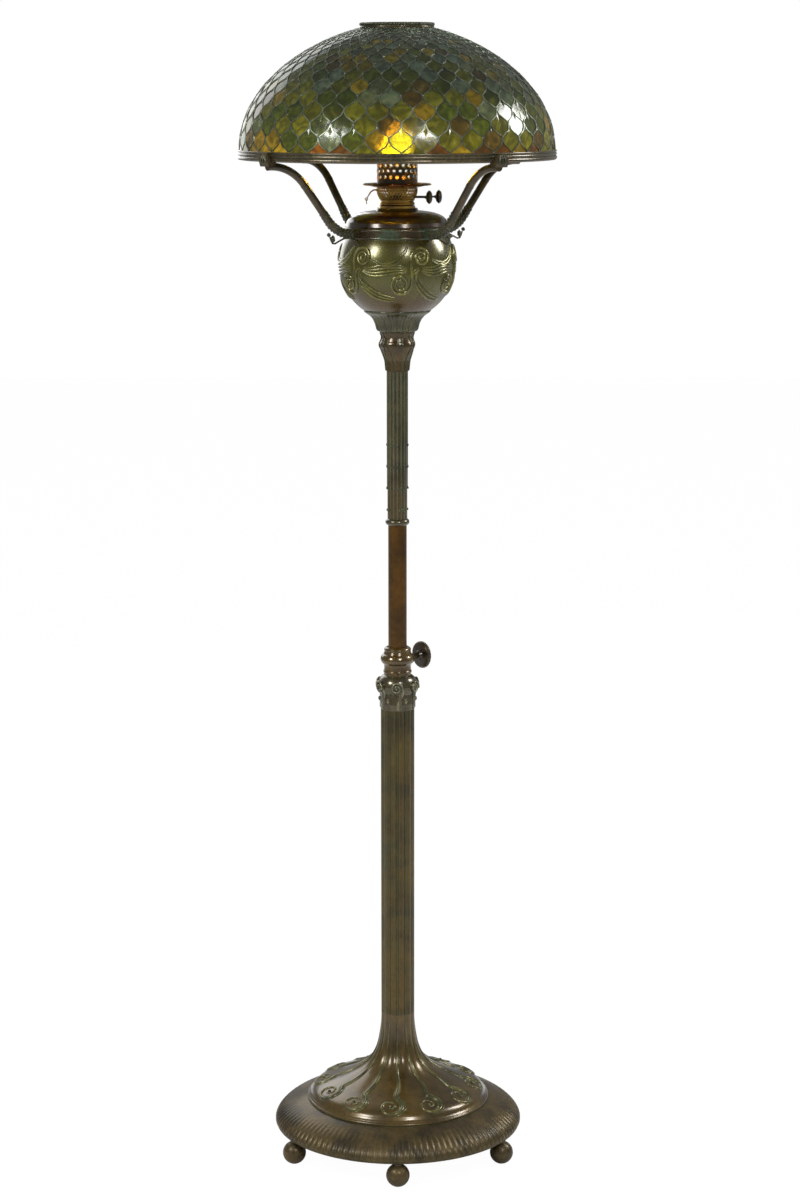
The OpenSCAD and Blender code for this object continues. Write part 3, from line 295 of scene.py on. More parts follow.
def new_group(name, sockets, outs):
    group = bpy.data.node_groups.new(name, "ShaderNodeTree")
    for title, kind, default in sockets:
        socket = group.interface.new_socket(name=title, in_out="INPUT", socket_type=kind)
        socket.default_value = default
    for title, kind in outs:
        group.interface.new_socket(name=title, in_out="OUTPUT", socket_type=kind)
    return group, group.nodes.new("NodeGroupInput").outputs, group.nodes.new("NodeGroupOutput").inputs


def build_patina():
    """Bronze patina: blotched metal that turns green where it is hollow or where the noise lets it."""
    group, given, out = new_group(
        "patina",
        [
            ("Metal", COLOR, (0.1, 0.08, 0.04, 1)), ("Dark", COLOR, (0.03, 0.02, 0.01, 1)),
            ("Green", COLOR, (0.1, 0.16, 0.1, 1)), ("Hollow", NUMBER, 0.0), ("Cover", NUMBER, 0.2),
            ("Scale", NUMBER, 30.0), ("Roughness", NUMBER, 0.4), ("Shine", NUMBER, 0.7),
        ],
        [("Color", COLOR), ("Roughness", NUMBER), ("Metallic", NUMBER), ("Height", NUMBER)],
    )
    place = object_place(group)
    blotch = noise(group, place, given["Scale"], 5.0)
    fine_scale = sums(group, "MULTIPLY", given["Scale"], 9.0)
    speck = noise(group, place, fine_scale, 4.0, Roughness=0.6)
    # Green grows with the hollow, the cover and the noise
    hollow = sums(group, "MULTIPLY", given["Hollow"], 1.5)
    cover = sums(group, "SUBTRACT", given["Cover"], 0.45)
    spread = sums(group, "MULTIPLY_ADD", blotch, 0.9, cover)
    spread = sums(group, "MULTIPLY_ADD", speck, 0.3, spread)
    green = ramp(group, sums(group, "ADD", hollow, spread), 0.35, 0.8)
    worn = blend_colour(group, ramp(group, blotch, 0.3, 0.62), given["Dark"], given["Metal"])
    shade = ramp(group, speck, 0.3, 0.7, 0.82, 1.12)
    grey = put(group, "ShaderNodeCombineColor", {0: shade, 1: shade, 2: shade}).outputs[0]
    worn = blend_colour(group, 1.0, worn, grey, "MULTIPLY")
    group.links.new(blend_colour(group, green, worn, given["Green"]), out["Color"])
    # Green is duller and bare of metal, and stands a little proud
    smoothest = sums(group, "SUBTRACT", given["Roughness"], 0.08)
    dull = sums(group, "MULTIPLY_ADD", speck, 0.16, smoothest)
    group.links.new(sums(group, "MULTIPLY_ADD", green, 0.28, dull), out["Roughness"])
    bare = sums(group, "MULTIPLY_ADD", green, -0.85, 1.0)
    group.links.new(sums(group, "MULTIPLY", given["Shine"], bare), out["Metallic"])
    group.links.new(sums(group, "MULTIPLY_ADD", green, 0.25, speck), out["Height"])
    return group


patina = build_patina()


def new_material(name, view_colour):
    material = bpy.data.materials.new(name)
    material.use_nodes = True
    material.diffuse_color = view_colour
    tree = material.node_tree
    return material, tree, tree.nodes["Principled BSDF"]


def metal(
    name, base, dark, green, cover=-0.2, rough=0.3, shine=0.55, scale=40, depth=1.5, grit=0.0002,
    wax=0.6, tint=None,
):
    """Patinated metal under a waxed skin. Its green reaches depth millimetres out of a hollow."""
    material, tree, skin = new_material(name, tone(base))
    values = {
        "Metal": tone(base), "Dark": tone(dark), "Green": tone(green), "Cover": cover, "Scale": scale,
        "Roughness": rough, "Shine": shine,
    }
    if depth:
        near = put(tree, "ShaderNodeAmbientOcclusion", {"Distance": depth * MM}, samples=4)
        values["Hollow"] = sums(tree, "SUBTRACT", 1.0, near.outputs["AO"])
    coat = put(tree, "ShaderNodeGroup", node_tree=patina)
    for key, value in values.items():
        feed(tree, coat.inputs[key], value)
    colour = coat.outputs["Color"]
    if tint:
        colour = tint(tree, colour)
    tree.links.new(colour, skin.inputs["Base Color"])
    for key in ("Roughness", "Metallic"):
        tree.links.new(coat.outputs[key], skin.inputs[key])
    bump(tree, skin, coat.outputs["Height"], grit, 0.6)
    skin.inputs["Coat Weight"].default_value = wax
    skin.inputs["Coat Roughness"].default_value = 0.17
    return material


def urn_tint(tree, colour):
    """Gold-green belly, brown shoulder and red-brown foot, by height."""
    place = object_place(tree)
    cloud = noise(tree, place, 22.0, 5.0, Distortion=0.6)
    height = sums(tree, "MULTIPLY_ADD", cloud, 0.05, height_of(tree, place))
    low = blend_colour(tree, ramp(tree, height, *URN_BELLY), tone("#50300e"), tone("#54521a"))
    whole = blend_colour(tree, ramp(tree, height, *URN_SHOULDER), low, tone("#443a20"))
    return blend_colour(tree, 0.7, colour, whole)


def stripes(count, turn, line, share):
    """Tint of upright lines at even angles, broken up by noise."""
    def tint(tree, colour):
        place = object_place(tree)
        split = put(tree, "ShaderNodeSeparateXYZ", {0: place})
        angle = sums(tree, "ARCTAN2", split.outputs[0], split.outputs[1])
        phase = math.radians(turn * count)
        wave = sums(tree, "SINE", sums(tree, "MULTIPLY_ADD", angle, float(count), phase))
        wave = sums(tree, "MULTIPLY_ADD", wave, 0.5, -0.2)
        cloud = noise(tree, place, 34.0, 3.0)
        broken = ramp(tree, sums(tree, "MULTIPLY_ADD", cloud, 1.2, wave), 0.3, 0.9)
        return blend_colour(tree, sums(tree, "MULTIPLY", broken, share), colour, tone(line))
    return tint


def band_green(tree, colour):
    """Green patches on the band, where a noise lets them."""
    cloud = noise(tree, object_place(tree), 30.0, 4.0)
    return blend_colour(tree, ramp(tree, cloud, 0.46, 0.56), colour, tone("#4a5642"))


finishes = {
    "plate": metal(
        "plate bronze", "#625230", "#3a3220", "#424c30", cover=-0.02, rough=0.42, scale=24, depth=2.5,
        grit=0.0007, wax=0.2,
    ),
    "dome": metal(
        "dome bronze", "#5e4a18", "#3c2e0e", "#4c6040", shine=0.4, scale=16, depth=1.2, wax=0.8,
    ),
    "tendril": metal("tendril bronze", "#6c6434", "#4a4626", "#5a7a5a", cover=-0.16, depth=1.8),
    "column": metal(
        "column bronze", "#604a16", "#3c2e0c", "#4c5a38", cover=-0.22, rough=0.34, shine=0.5, scale=20,
        depth=2.5, wax=0.4, tint=stripes(24, 7.5, "#465230", 0.6),
    ),
    "sleeve": metal(
        "sleeve bronze", "#5e4c2a", "#40341c", "#566a50", rough=0.24, wax=1.0,
        tint=stripes(16, 5.6, "#7c8468", 0.6),
    ),
    "green": metal(
        "green bronze", "#544c2e", "#38321f", "#4c6850", rough=0.26, scale=30, depth=2.0, wax=0.9,
    ),
    # The volute bronze is lighter than the capital's: a painted highlight on the raised spirals, with the
    # darker capital as painted shade between them.
    "volute": metal(
        "volute bronze", "#8c8666", "#5c5840", "#6e8a72", cover=-0.24, rough=0.24, depth=1.0, wax=1.0,
    ),
    "arm": metal("arm bronze", "#524222", "#342c18", "#465040", rough=0.32, scale=34, depth=2.0),
    "berry": metal(
        "berry bronze", "#504a30", "#363422", "#4c604a", cover=0.02, rough=0.42, scale=60, depth=2.0,
    ),
    "band": metal(
        "band bronze", "#50401e", "#362a16", "#4a5840", cover=-0.16, rough=0.28, scale=30,
        tint=band_green,
    ),
    "rim": metal("rim bronze", "#605438", "#403824", "#4e5a42", rough=0.26, scale=26, depth=1.2),
    "collar": metal(
        "collar bronze", "#644c12", "#42320a", "#5a7046", rough=0.22, shine=0.4, scale=26, depth=3.0,
        grit=0.0001, wax=1.0,
    ),
    "rope": metal("rope bronze", "#4e4e34", "#303424", "#526248", cover=0.06, rough=0.42, scale=60),
    "tube": metal(
        "tube bronze", "#64420a", "#422c06", "#40421e", cover=-0.26, shine=0.5, scale=14, depth=0,
        wax=0.25,
    ),
    "lid": metal(
        "lid bronze", "#3e2c10", "#241a08", "#2c2a18", cover=-0.4, rough=0.2, scale=12, depth=0,
        grit=0.00003, wax=0.9,
    ),
    "urn": metal(
        "urn bronze", "#5c5a16", "#3c3a10", "#4e5620", cover=-0.1, rough=0.26, scale=26, depth=3.0,
        wax=0.8, tint=urn_tint,
    ),
    # The scroll bronze is lighter than the urn's: a painted highlight on the raised relief.
    "scroll": metal("scroll bronze", "#7a7430", "#52501a", "#64722e", cover=-0.12, rough=0.22, wax=1.0),
    "cup": metal(
        "cup bronze", "#5a5434", "#3a3824", "#587458", cover=-0.08, rough=0.34, depth=2.0,
        tint=stripes(22, 4.1, "#303424", 0.5),
    ),
    "knuckle": metal(
        "knuckle bronze", "#543e18", "#3a2c12", "#526848", cover=-0.14, rough=0.28, scale=30,
    ),
    "brass": metal(
        "burner brass", "#e0b450", "#94702e", "#5a4820", cover=-0.26, rough=0.17, shine=0.9, scale=50,
        depth=1.0,
    ),
    "copper": metal("copper flange", "#8c4a22", "#583014", "#3a2c18", rough=0.26, shine=0.8),
    "gallery": metal(
        "gallery bronze", "#645028", "#3e321a", "#38361e", cover=-0.14, shine=0.8, scale=50,
    ),
    "knob": metal(
        "knob bronze", "#4a3c22", "#322814", "#303a26", cover=-0.08, rough=0.32, scale=50, depth=2.0,
    ),
    "iron": metal(
        "plain iron", "#3a3a3a", "#262626", "#3a3026", cover=-0.1, rough=0.55, shine=0.8, scale=60,
        depth=0, wax=0.0,
    ),
    "came": metal(
        "came lead", "#7c8474", "#4a5044", "#5a6654", cover=-0.1, shine=0.8, scale=120, depth=0,
        wax=0.2,
    ),
}


def build_glass():
    """Mottled leaded glass. Each tile carries its own colour and the turn of its streaks, and the glass
    glows with a painted light of the flames, strongest at the rim.
    """
    material, tree, skin = new_material("mottled glass", (0.15, 0.18, 0.05, 1))
    place = object_place(tree)
    own = put(tree, "ShaderNodeAttribute", attribute_name="tile_colour").outputs["Color"]
    seed = put(tree, "ShaderNodeAttribute", attribute_name="tile_seed").outputs["Color"]
    moved = put(tree, "ShaderNodeVectorMath", {0: place, 1: seed}, operation="ADD").outputs[0]
    streak = noise(tree, moved, 55.0, 4.0, Distortion=1.6)
    cloud = noise(tree, moved, 24.0, 3.0)
    amber = blend_colour(tree, ramp(tree, cloud, 0.58, 0.76, 0.0, 0.4), own, tone("#6e5018"))
    dark = blend_colour(tree, ramp(tree, streak, 0.62, 0.4, 0.0, 0.6), amber, tone("#22281a"))
    pale = blend_colour(tree, ramp(tree, streak, 0.58, 0.78, 0.0, 0.45), dark, tone("#9a9c7c"))
    tree.links.new(pale, skin.inputs["Base Color"])
    # Painted glow: the glass emits a warm light of its own for the flames' light in it, strongest at the
    # rim
    lit = ramp(tree, height_of(tree, place), *SHADE_GLOW)
    warm = blend_colour(tree, 1.0, pale, tone("#ffe08a"), "MULTIPLY")
    tree.links.new(blend_colour(tree, lit, (0, 0, 0, 1), warm), skin.inputs["Emission Color"])
    skin.inputs["Emission Strength"].default_value = 0.75
    ripple = noise(tree, moved, 75.0, 1.5, Distortion=0.6)
    bump(tree, skin, ripple, 0.001, 0.24)
    skin.inputs["Roughness"].default_value = 0.14
    skin.inputs["Transmission Weight"].default_value = 0.7
    skin.inputs["IOR"].default_value = 1.5
    return material


def build_clear_glass():
    material, tree, skin = new_material("clear glass", (0.8, 0.85, 0.82, 0.3))
    haze = noise(tree, object_place(tree), 18.0, 3.0)
    tree.links.new(blend_colour(tree, haze, tone("#e6ece6"), tone("#f6faf6")), skin.inputs["Base Color"])
    tree.links.new(ramp(tree, haze, 0.3, 0.7, 0.02, 0.06), skin.inputs["Roughness"])
    skin.inputs["Transmission Weight"].default_value = 1.0
    skin.inputs["IOR"].default_value = 1.46
    return material


def build_cotton():
    """Woven cotton, charred at its top."""
    material, tree, skin = new_material("wick cotton", (0.7, 0.66, 0.55, 1))
    place = object_place(tree)
    weave = put(tree, "ShaderNodeTexWave", {"Vector": place, "Scale": 260.0, "Distortion": 0.6}).outputs[1]
    cotton = blend_colour(tree, weave, tone("#b8ad92"), tone("#dcd4bd"))
    charred = ramp(tree, height_of(tree, place), *WICK_CHAR)
    tree.links.new(blend_colour(tree, charred, cotton, tone("#1c1712")), skin.inputs["Base Color"])
    bump(tree, skin, weave, 0.0002)
    skin.inputs["Roughness"].default_value = 0.9
    return material


def build_flame():
    """Flame that is dark in its foot and bright over it."""
    material, tree, skin = new_material("flame", (1, 0.6, 0.1, 1))
    height = height_of(tree, object_place(tree))
    lick = blend_colour(tree, ramp(tree, height, *FLAME_DEEP), tone("#ffd24a"), tone("#ffb42a"))
    tree.links.new(lick, skin.inputs["Base Color"])
    shining = blend_colour(tree, ramp(tree, height, *FLAME_BRIGHT), tone("#020100"), lick)
    tree.links.new(shining, skin.inputs["Emission Color"])
    skin.inputs["Emission Strength"].default_value = 1400.0
    skin.inputs["Roughness"].default_value = 0.9
    return material


finishes["glass"] = build_glass()
finishes["clear"] = build_clear_glass()
finishes["cotton"] = build_cotton()
finishes["flame"] = build_flame()

dressing = {
    "plate": ["ball_feet"],
    "column": ["column"],
    "green": ["capital", "bead_ring"],
    "sleeve": ["stem_sleeve"],
    "rim": ["rim_band", "crown_ring"],
    "collar": ["clamp_collar"],
    "knob": ["thumbscrew", "front_winder", "rear_winder"],
    "tube": ["slide_tube"],
    "lid": ["pot_lid"],
    "urn": ["urn"],
    "band": ["arm_band"],
    "arm": ["shade_arms"],
    "knuckle": ["knuckle"],
    "brass": [
        "collet", "clamp_pad", "tube_guide", "oil_pot", "pot_collar", "burner_base", "flame_dome",
        "wick_tubes", "snuffer", "snuffer_lever", "lever_ring",
    ],
    "copper": ["flange"],
    "gallery": ["gallery"],
    "iron": ["foot_nuts", "base_weight", "tie_tube", "base_washer", "base_nut", "stem_nut", "arm_pins"],
    "cotton": ["front_wick", "rear_wick"],
    "clear": ["chimney"],
}
for finish, members in dressing.items():
    for member in members:
        node = nodes[member]
        node.data.materials.clear()
        node.data.materials.append(finishes[finish])


# Base plate
PLATE_CROWN_R, PLATE_RUN, PLATE_WALL, PLATE_POWER = 135.5, 51.4, 3.2, 1.7
PLATE_EDGE_Z, PLATE_HOLE_R, PLATE_FOOT_R = PLATE_Z + 4, 118.5, 166.9
RIBS, RIB_DEPTH, RIB_STEPS = 120, 2.3, 6


def plate_point(t, wall=0.0):
    """Point of the base plate's outline, from its edge (0) to its crown (90)."""
    a = math.radians(t)
    run = (PLATE_RUN - wall) * max(0, math.cos(a)) ** PLATE_POWER
    return PLATE_CROWN_R + run, PLATE_EDGE_Z + (DOME_Z - wall - PLATE_EDGE_Z) * math.sin(a)


lip = [(183.4, 0), (184.6, 0.6), (185, 1.6), (184.5, 2.6), (185.4, 3.2), (186.2, 4.2), (185.8, 5.2)]
plate_profile = (
    [(PLATE_FOOT_R, PLATE_Z)]
    + [(r, PLATE_Z + z) for r, z in lip]
    + [plate_point(t) for t in (6, 10, 15, 20, 25, 30, 35, 40, 45, 50, 55, 61, 68, 76, 84, 90)]
    + [(PLATE_HOLE_R, DOME_Z), (PLATE_HOLE_R, DOME_Z - PLATE_WALL)]
    + [plate_point(t, PLATE_WALL) for t in (90, 62, 30, 0)]
    + [(183.3, PLATE_Z + PLATE_WALL), (PLATE_FOOT_R, PLATE_Z + PLATE_WALL)]
)


def rib_cut(r, angle, z):
    """Depth of the ribs on the plate's outer skin, fading towards its crown and its lip."""
    if z < PLATE_Z + 5 or r < PLATE_CROWN_R + 0.5:
        return 0
    share = (z - PLATE_EDGE_Z) / (DOME_Z - PLATE_EDGE_Z)
    t = math.degrees(math.asin(max(0, min(1, share))))
    if r < plate_point(t)[0] - 1.2:
        return 0
    depth = RIB_DEPTH * max(0, min(1, (62 - t) / 34)) * smoothstep(PLATE_Z + 5, PLATE_Z + 7.5, z)
    wave = abs(math.sin(math.radians(angle * RIBS / 2)))
    return -depth * (1 - wave) ** 1.6


plate = turned(plate_profile, RIBS * RIB_STEPS)
push_out(plate, rib_cut)
smooth(plate)
finish_piece(plate, "ribbed_plate", "stand", finishes["plate"], ["base_plate"])

# Scroll dome, with its outline as in the solids: a neck curve to the shoulder, then out to the rim
shoulder = Vector((DOME_R * 0.63, DOME_Z + DOME_H * 0.25))
shoulder_run = Vector((DOME_R * 0.318, -DOME_H * 0.146))
neck_curve = [
    (COLUMN_R - 0.05, COLUMN_Z),
    (COLUMN_R + 0.3, DOME_Z + DOME_H * 0.466),
    shoulder - shoulder_run,
    shoulder,
]
rim_curve = [
    shoulder,
    shoulder + shoulder_run * 0.71,
    (DOME_R - 4, DOME_Z + DOME_H * 0.156),
    (DOME_R, DOME_Z + 5),
]
rim_bead = [
    (129, 0), (136.5, 0), (137.2, 1.2), (136.8, 3), (135.4, 3.8), (134.6, 4.2), (134.2, 5.4), (133.2, 6),
]
NECK_BORE_R, NECK_BORE_FOOT_Z, DOME_WALL = 19.5, 160.0, 6.0
LOBE_CENTRE_R, LOBE_R, RIDGE_CENTRE_R, RIDGE_R = 19.3, 6.2, 23.2, 1.7
LOBE_ANGLE, LOBE_STEPS = 360 / LOBES, 24


def dome_point(u):
    """Point on the dome's outline, from the neck (0) over the shoulder (1) to the rim (2)."""
    return curve_point(neck_curve, u) if u < 1 else curve_point(rim_curve, min(2, u) - 1)


def dome_lift(u, h):
    """Point at a distance over the dome's outline."""
    (r0, z0), (r1, z1) = dome_point(max(0, u - 0.02)), dome_point(min(2, u + 0.02))
    length = math.hypot(r1 - r0, z1 - z0)
    r, z = dome_point(u)
    return r - h * (z1 - z0) / length, z + h * (r1 - r0) / length


# Distance from the column's foot along the outline
outline_run = [(0.0, 0.0)]
for step in range(80):
    (r0, z0), (r1, z1) = dome_point(step / 40), dome_point((step + 1) / 40)
    outline_run.append((outline_run[-1][0] + math.hypot(r1 - r0, z1 - z0), (step + 1) / 40))


def dome_at(run):
    """Position on the outline at a distance along it."""
    for (run0, u0), (run1, u1) in zip(outline_run, outline_run[1:]):
        if run <= run1:
            return u0 + (u1 - u0) * max(0, run - run0) / (run1 - run0)
    return 2.0


dome_us = [2 - i / 16 for i in range(1, 16)] + [1 - i / 14 for i in range(15)]
dome_profile = (
    [(r, DOME_Z + z) for r, z in rim_bead]
    + [dome_point(u) for u in dome_us]
    + [(NECK_BORE_R, COLUMN_Z), (NECK_BORE_R, NECK_BORE_FOOT_Z)]
    + [dome_lift(u, -DOME_WALL) for u in (0.6, 0.8, 1.1, 1.5, 1.8)]
)
dome_heights = sorted((dome_point(u)[1], u) for u in [i / 40 for i in range(81)])


def column_r(angle):
    """Radius of the column's section of twelve lobes with a thin ridge in each valley."""
    off_ridge = (angle - STEM_TURN) % LOBE_ANGLE
    off_ridge = math.radians(min(off_ridge, LOBE_ANGLE - off_ridge))
    off_lobe = math.radians(LOBE_ANGLE / 2) - off_ridge
    lobe_width = max(0, LOBE_R**2 - (LOBE_CENTRE_R * math.sin(off_lobe)) ** 2)
    lobe = LOBE_CENTRE_R * math.cos(off_lobe) + math.sqrt(lobe_width)
    ridge = RIDGE_R**2 - (RIDGE_CENTRE_R * math.sin(off_ridge)) ** 2
    if ridge <= 0:
        return lobe
    return max(lobe, RIDGE_CENTRE_R * math.cos(off_ridge) + math.sqrt(ridge))


def lobe_cut(r, angle, z):
    """The column's section at the neck, fading out down the dome."""
    u = next((u for height, u in dome_heights if height >= z), 0)
    if z > COLUMN_Z - 0.1:
        u = 0
    if r < dome_point(u)[0] - 2.4 or z < DOME_Z + 7:
        return 0
    share = max(0, 1 - (max(0, u) / 1.2) ** 2)
    return (column_r(angle) - COLUMN_R) * share


dome = turned(dome_profile, LOBES * LOBE_STEPS)
push_out(dome, lobe_cut)
smooth(dome, 50)
finish_piece(dome, "scroll_dome", "stand", finishes["dome"], ["column_foot"])

# Tendrils on the dome
CURL_RUN = outline_run[-1][0] - 27
CURL_CENTER_R = dome_point(dome_at(CURL_RUN))[0]
CURL_R, CURL_ROUNDS, CURL_START = 20.5, 1.5, -70.0
STEPS_DOWN, STEPS_ROUND, EDGE_STEPS = 26, 48, 44
TENDRIL_TOP_RUN = 0.5


def tendril_path():
    """Points of a tendril in the plane of distances across and along the dome, in millimetres."""
    turn = math.radians(CURL_START)
    start = (CURL_R * math.cos(turn), CURL_R * math.sin(turn))
    top = (STEM_TURN - CURL_TURN) * math.radians(CURL_CENTER_R)
    points = []
    for k in range(STEPS_DOWN):
        t = k / STEPS_DOWN
        across = top + (start[0] - top) * t**2
        side = CURL_R * 0.4 * math.sin(math.pi * smoothstep(0.5, 1.0, t)) * smoothstep(0.45, 1, t)
        points.append((across + side, TENDRIL_TOP_RUN + (CURL_RUN + start[1] - TENDRIL_TOP_RUN) * t))
    for k in range(STEPS_ROUND + 1):
        s = k / STEPS_ROUND
        a = math.radians(CURL_START + 360 * CURL_ROUNDS * s)
        r = CURL_R * (1 - 0.84 * s)
        points.append((r * math.cos(a), CURL_RUN + r * math.sin(a)))
    return points


def offset_path(points, shift):
    """Path beside another one, by a distance for each of its points."""
    moved = []
    for k, point in enumerate(points):
        before, after = points[max(0, k - 1)], points[min(len(points) - 1, k + 1)]
        dx, dy = after[0] - before[0], after[1] - before[1]
        length = math.hypot(dx, dy) or 1
        moved.append((point[0] - dy / length * shift[k], point[1] + dx / length * shift[k]))
    return moved


def on_dome(points, turn, lift):
    """Points over the dome, sunk at the neck to meet the ridges of the column."""
    placed = []
    for across, along in points:
        r, z = dome_lift(min(1.98, dome_at(along)), lift - 1.2 * smoothstep(40, 0, along))
        placed.append(around(r, turn + math.degrees(across / CURL_CENTER_R), z))
    return placed


tendril = tendril_path()
tendril_size = [
    (1 - 0.35 * max(0, k - STEPS_DOWN) / STEPS_ROUND) * (0.38 + 0.62 * smoothstep(4, 28, k))
    for k in range(len(tendril))
]
edge_radii = [0.05 + 1.1 * smoothstep(2, 14, k) * smoothstep(44, 34, k) for k in range(EDGE_STEPS)]
curl_heart = [(0.3 * math.cos(a), CURL_RUN + 0.3 * math.sin(a)) for a in (0, 2, 4)]
rods = []
for i in range(LOBES):
    turn = CURL_TURN + i * LOBE_ANGLE
    rods.append((on_dome(tendril, turn, -0.8), [3.1 * size for size in tendril_size]))
    for side in (-1, 1):
        edge = offset_path(tendril, [side * 4.4 * size for size in tendril_size])[:EDGE_STEPS]
        rods.append((on_dome(edge, turn, -0.3), edge_radii))
    rods.append((on_dome(curl_heart, turn, 0.2), 2.6))
finish_piece(tubes(rods), "dome_tendrils", "stand", finishes["tendril"])

# Capital with its volutes, leaves and buds
CAPITAL_H, CAPITAL_FOOT_R = 51.5, 25.8
CAPITAL_ARC_CENTRE_R, CAPITAL_ARC, CAPITAL_ARC_LOW = 11.4, 18.0, -11.6
VOLUTES, VOLUTE_TURN, VOLUTE_FACE_R, VOLUTE_RISE = 6, -2.0, 31.4, CAPITAL_H * 0.69
VOLUTE_STEPS, LEAF_STEPS = 48, 14


def flat_spiral(centre, right, up, big, small, turns, steps, start, hand):
    """Points of a spiral in the plane of two directions, from its big to its small radius."""
    points = []
    for k in range(steps + 1):
        s = k / steps
        a = math.radians(start + hand * 360 * turns * s)
        r = (big + (small - big) * s) * MM
        points.append(centre + right * (r * math.cos(a)) + up * (r * math.sin(a)))
    return points


def capital_r(z):
    """Radius of the capital's outline at a height over its foot."""
    dz = z - VOLUTE_RISE
    if dz < CAPITAL_ARC_LOW:
        return CAPITAL_FOOT_R
    return CAPITAL_ARC_CENTRE_R + math.sqrt(max(0, CAPITAL_ARC**2 - dz**2))


def leaf_path(turn, start, end):
    """Points of a leaf that winds from under a volute down to the capital's foot."""
    points = []
    for k in range(LEAF_STEPS + 1):
        t = k / LEAF_STEPS
        z = VOLUTE_RISE - 3 - (VOLUTE_RISE - 4) * t
        bend = start + (end - start) * smoothstep(0.1, 0.75, t) + 2.2 * math.sin(math.pi * t * 2)
        points.append(around(capital_r(z) + 0.3, turn + bend, CAPITAL_Z + z))
    return points


rods = []
for i in range(VOLUTES):
    turn = VOLUTE_TURN + i * 360 / VOLUTES
    side = around(1, turn + 90, 0).normalized()
    centre = around(VOLUTE_FACE_R, turn, CAPITAL_Z + VOLUTE_RISE)
    spiral = flat_spiral(centre, side, UP, 9.2, 1.4, 1.8, VOLUTE_STEPS, -20, 1)
    rods.append((spiral, [1.35 - 0.35 * k / VOLUTE_STEPS for k in range(VOLUTE_STEPS + 1)]))
    rods.append(([centre - side * 0.3 * MM, centre, centre + side * 0.3 * MM], 1.9))
    for start, end, size in ((17.5, 7.0, 1.7), (13.0, 3.0, 1.1)):
        radii = [size * (1 - 0.45 * k / LEAF_STEPS) for k in range(LEAF_STEPS + 1)]
        rods.append((leaf_path(turn, start, end), radii))
    bud = around(capital_r(15) + 0.6, turn + 180 / VOLUTES, CAPITAL_Z + 15)
    rods.append(([bud - UP * 3 * MM, bud, bud + UP * 3 * MM], [1.6, 2.6, 1.4]))
# The volutes take the lighter volute bronze, a painted highlight on the raised spirals.
finish_piece(tubes(rods), "capital_volutes", "stand", finishes["volute"])

# Curls under the reeds, which end at four levels with the middle ones of each quarter highest
REEDS, REED_TURN, REED_FOOT, REED_STEP, REED_R = 32, -17.5, 13.0, 31.8, 15.6
rods = []
for i in range(REEDS):
    place = i % 8 - 3.5
    turn = REED_TURN + 90 * (i // 8) + place * 360 / REEDS
    foot = SLEEVE_Z + REED_FOOT + REED_STEP * (3.5 - abs(place))
    side = around(1, turn + 90, 0).normalized()
    for hand in (-1, 1):
        centre = around(REED_R, turn, foot) + side * hand * 1.3 * MM
        rods.append((flat_spiral(centre, side, UP, 1.7, 0.5, 0.9, 10, 90, -hand), 0.65))
finish_piece(tubes(rods, 6), "sleeve_curls", "riser", finishes["cup"])

# Knuckle, whose outline has straight parts and one bead
knuckle_outline = [(0, 16.7), (15, 18.1), (32.4, 24.0), (43.7, 24.2), (48.5, 22.5), (57, 25.4)]
KNUCKLE_BEAD_LOW, KNUCKLE_BEAD_HIGH = 32.4, 43.7
KNUCKLE_BEAD_R, KNUCKLE_BEAD_CENTRE_R, KNUCKLE_BEAD_Z = 9.0, 17.1, 38.2
PANELS, PANEL_TURN, PANEL_STEPS = 7, 10.0, 18


def knuckle_r(z):
    """Radius of the knuckle at a height over its foot."""
    if KNUCKLE_BEAD_LOW <= z < KNUCKLE_BEAD_HIGH:
        return KNUCKLE_BEAD_CENTRE_R + math.sqrt(KNUCKLE_BEAD_R**2 - (z - KNUCKLE_BEAD_Z) ** 2)
    parts = zip(knuckle_outline, knuckle_outline[1:])
    (z0, r0), (z1, r1) = next(part for part in parts if z < part[1][0])
    return r0 + (r1 - r0) * (z - z0) / (z1 - z0)


rods = []
for i in range(PANELS):
    middle = i * 360 / PANELS + PANEL_TURN
    for hand in (-1, 1):
        points = []
        for k in range(PANEL_STEPS + 1):
            t = k / PANEL_STEPS
            z = 1 + 55 * t
            spread = 17 - 9.5 * smoothstep(0.35, 0.62, t) + 7 * smoothstep(0.72, 0.95, t)
            points.append(around(knuckle_r(z) + 0.35, middle + hand * spread, KNUCKLE_Z + z))
        rods.append((points, 0.95))
finish_piece(tubes(rods, 6), "knuckle_ribs", "riser", finishes["cup"])

# Fluted cup under the urn
FLUTES, FLUTE_DEPTH, FLUTE_STEPS = 44, 1.7, 6
CUP_BORE_R, CUP_FOOT_R = 14.15, 25.5
cup_outline = [
    (CUP_BORE_R, 0), (CUP_FOOT_R, 0), (28.8, 1.2), (30.6, 3.6), (31.4, 7), (32.4, 11), (34, 15),
    (36.2, 19), (39.4, 22.6), (43.2, 25.4), (46.2, 27.4), (47.6, 28.4), (48.5, 29.6), (48.7, 30.8),
    (48, 32), (CUP_BORE_R, 32),
]


def flute_cut(r, angle, z):
    """Depth of the flutes, fading at both ends."""
    rise = z - CUP_Z
    if r < CUP_FOOT_R + 0.5 or rise > 27.6:
        return 0
    depth = FLUTE_DEPTH * smoothstep(0.5, 4, rise) * smoothstep(28, 24, rise)
    return -depth * (1 - abs(math.sin(math.radians(angle * FLUTES / 2))))


cup = turned([(r, CUP_Z + z) for r, z in cup_outline], FLUTES * FLUTE_STEPS)
push_out(cup, flute_cut)
smooth(cup)
finish_piece(cup, "fluted_cup", "riser", finishes["cup"], ["font_cup"])

# Relief on the urn: a running wave of coils, with strands between them
SCROLLS = 6
SCROLL_GIRTH = 2 * math.pi * URN_GIRTH_R / SCROLLS
RADIAN = 57.3
RELIEF_LOW, RELIEF_HIGH = -62, 36
COIL_STEPS, WAVE_STEPS, STRAND_STEPS = 80, 12, 24


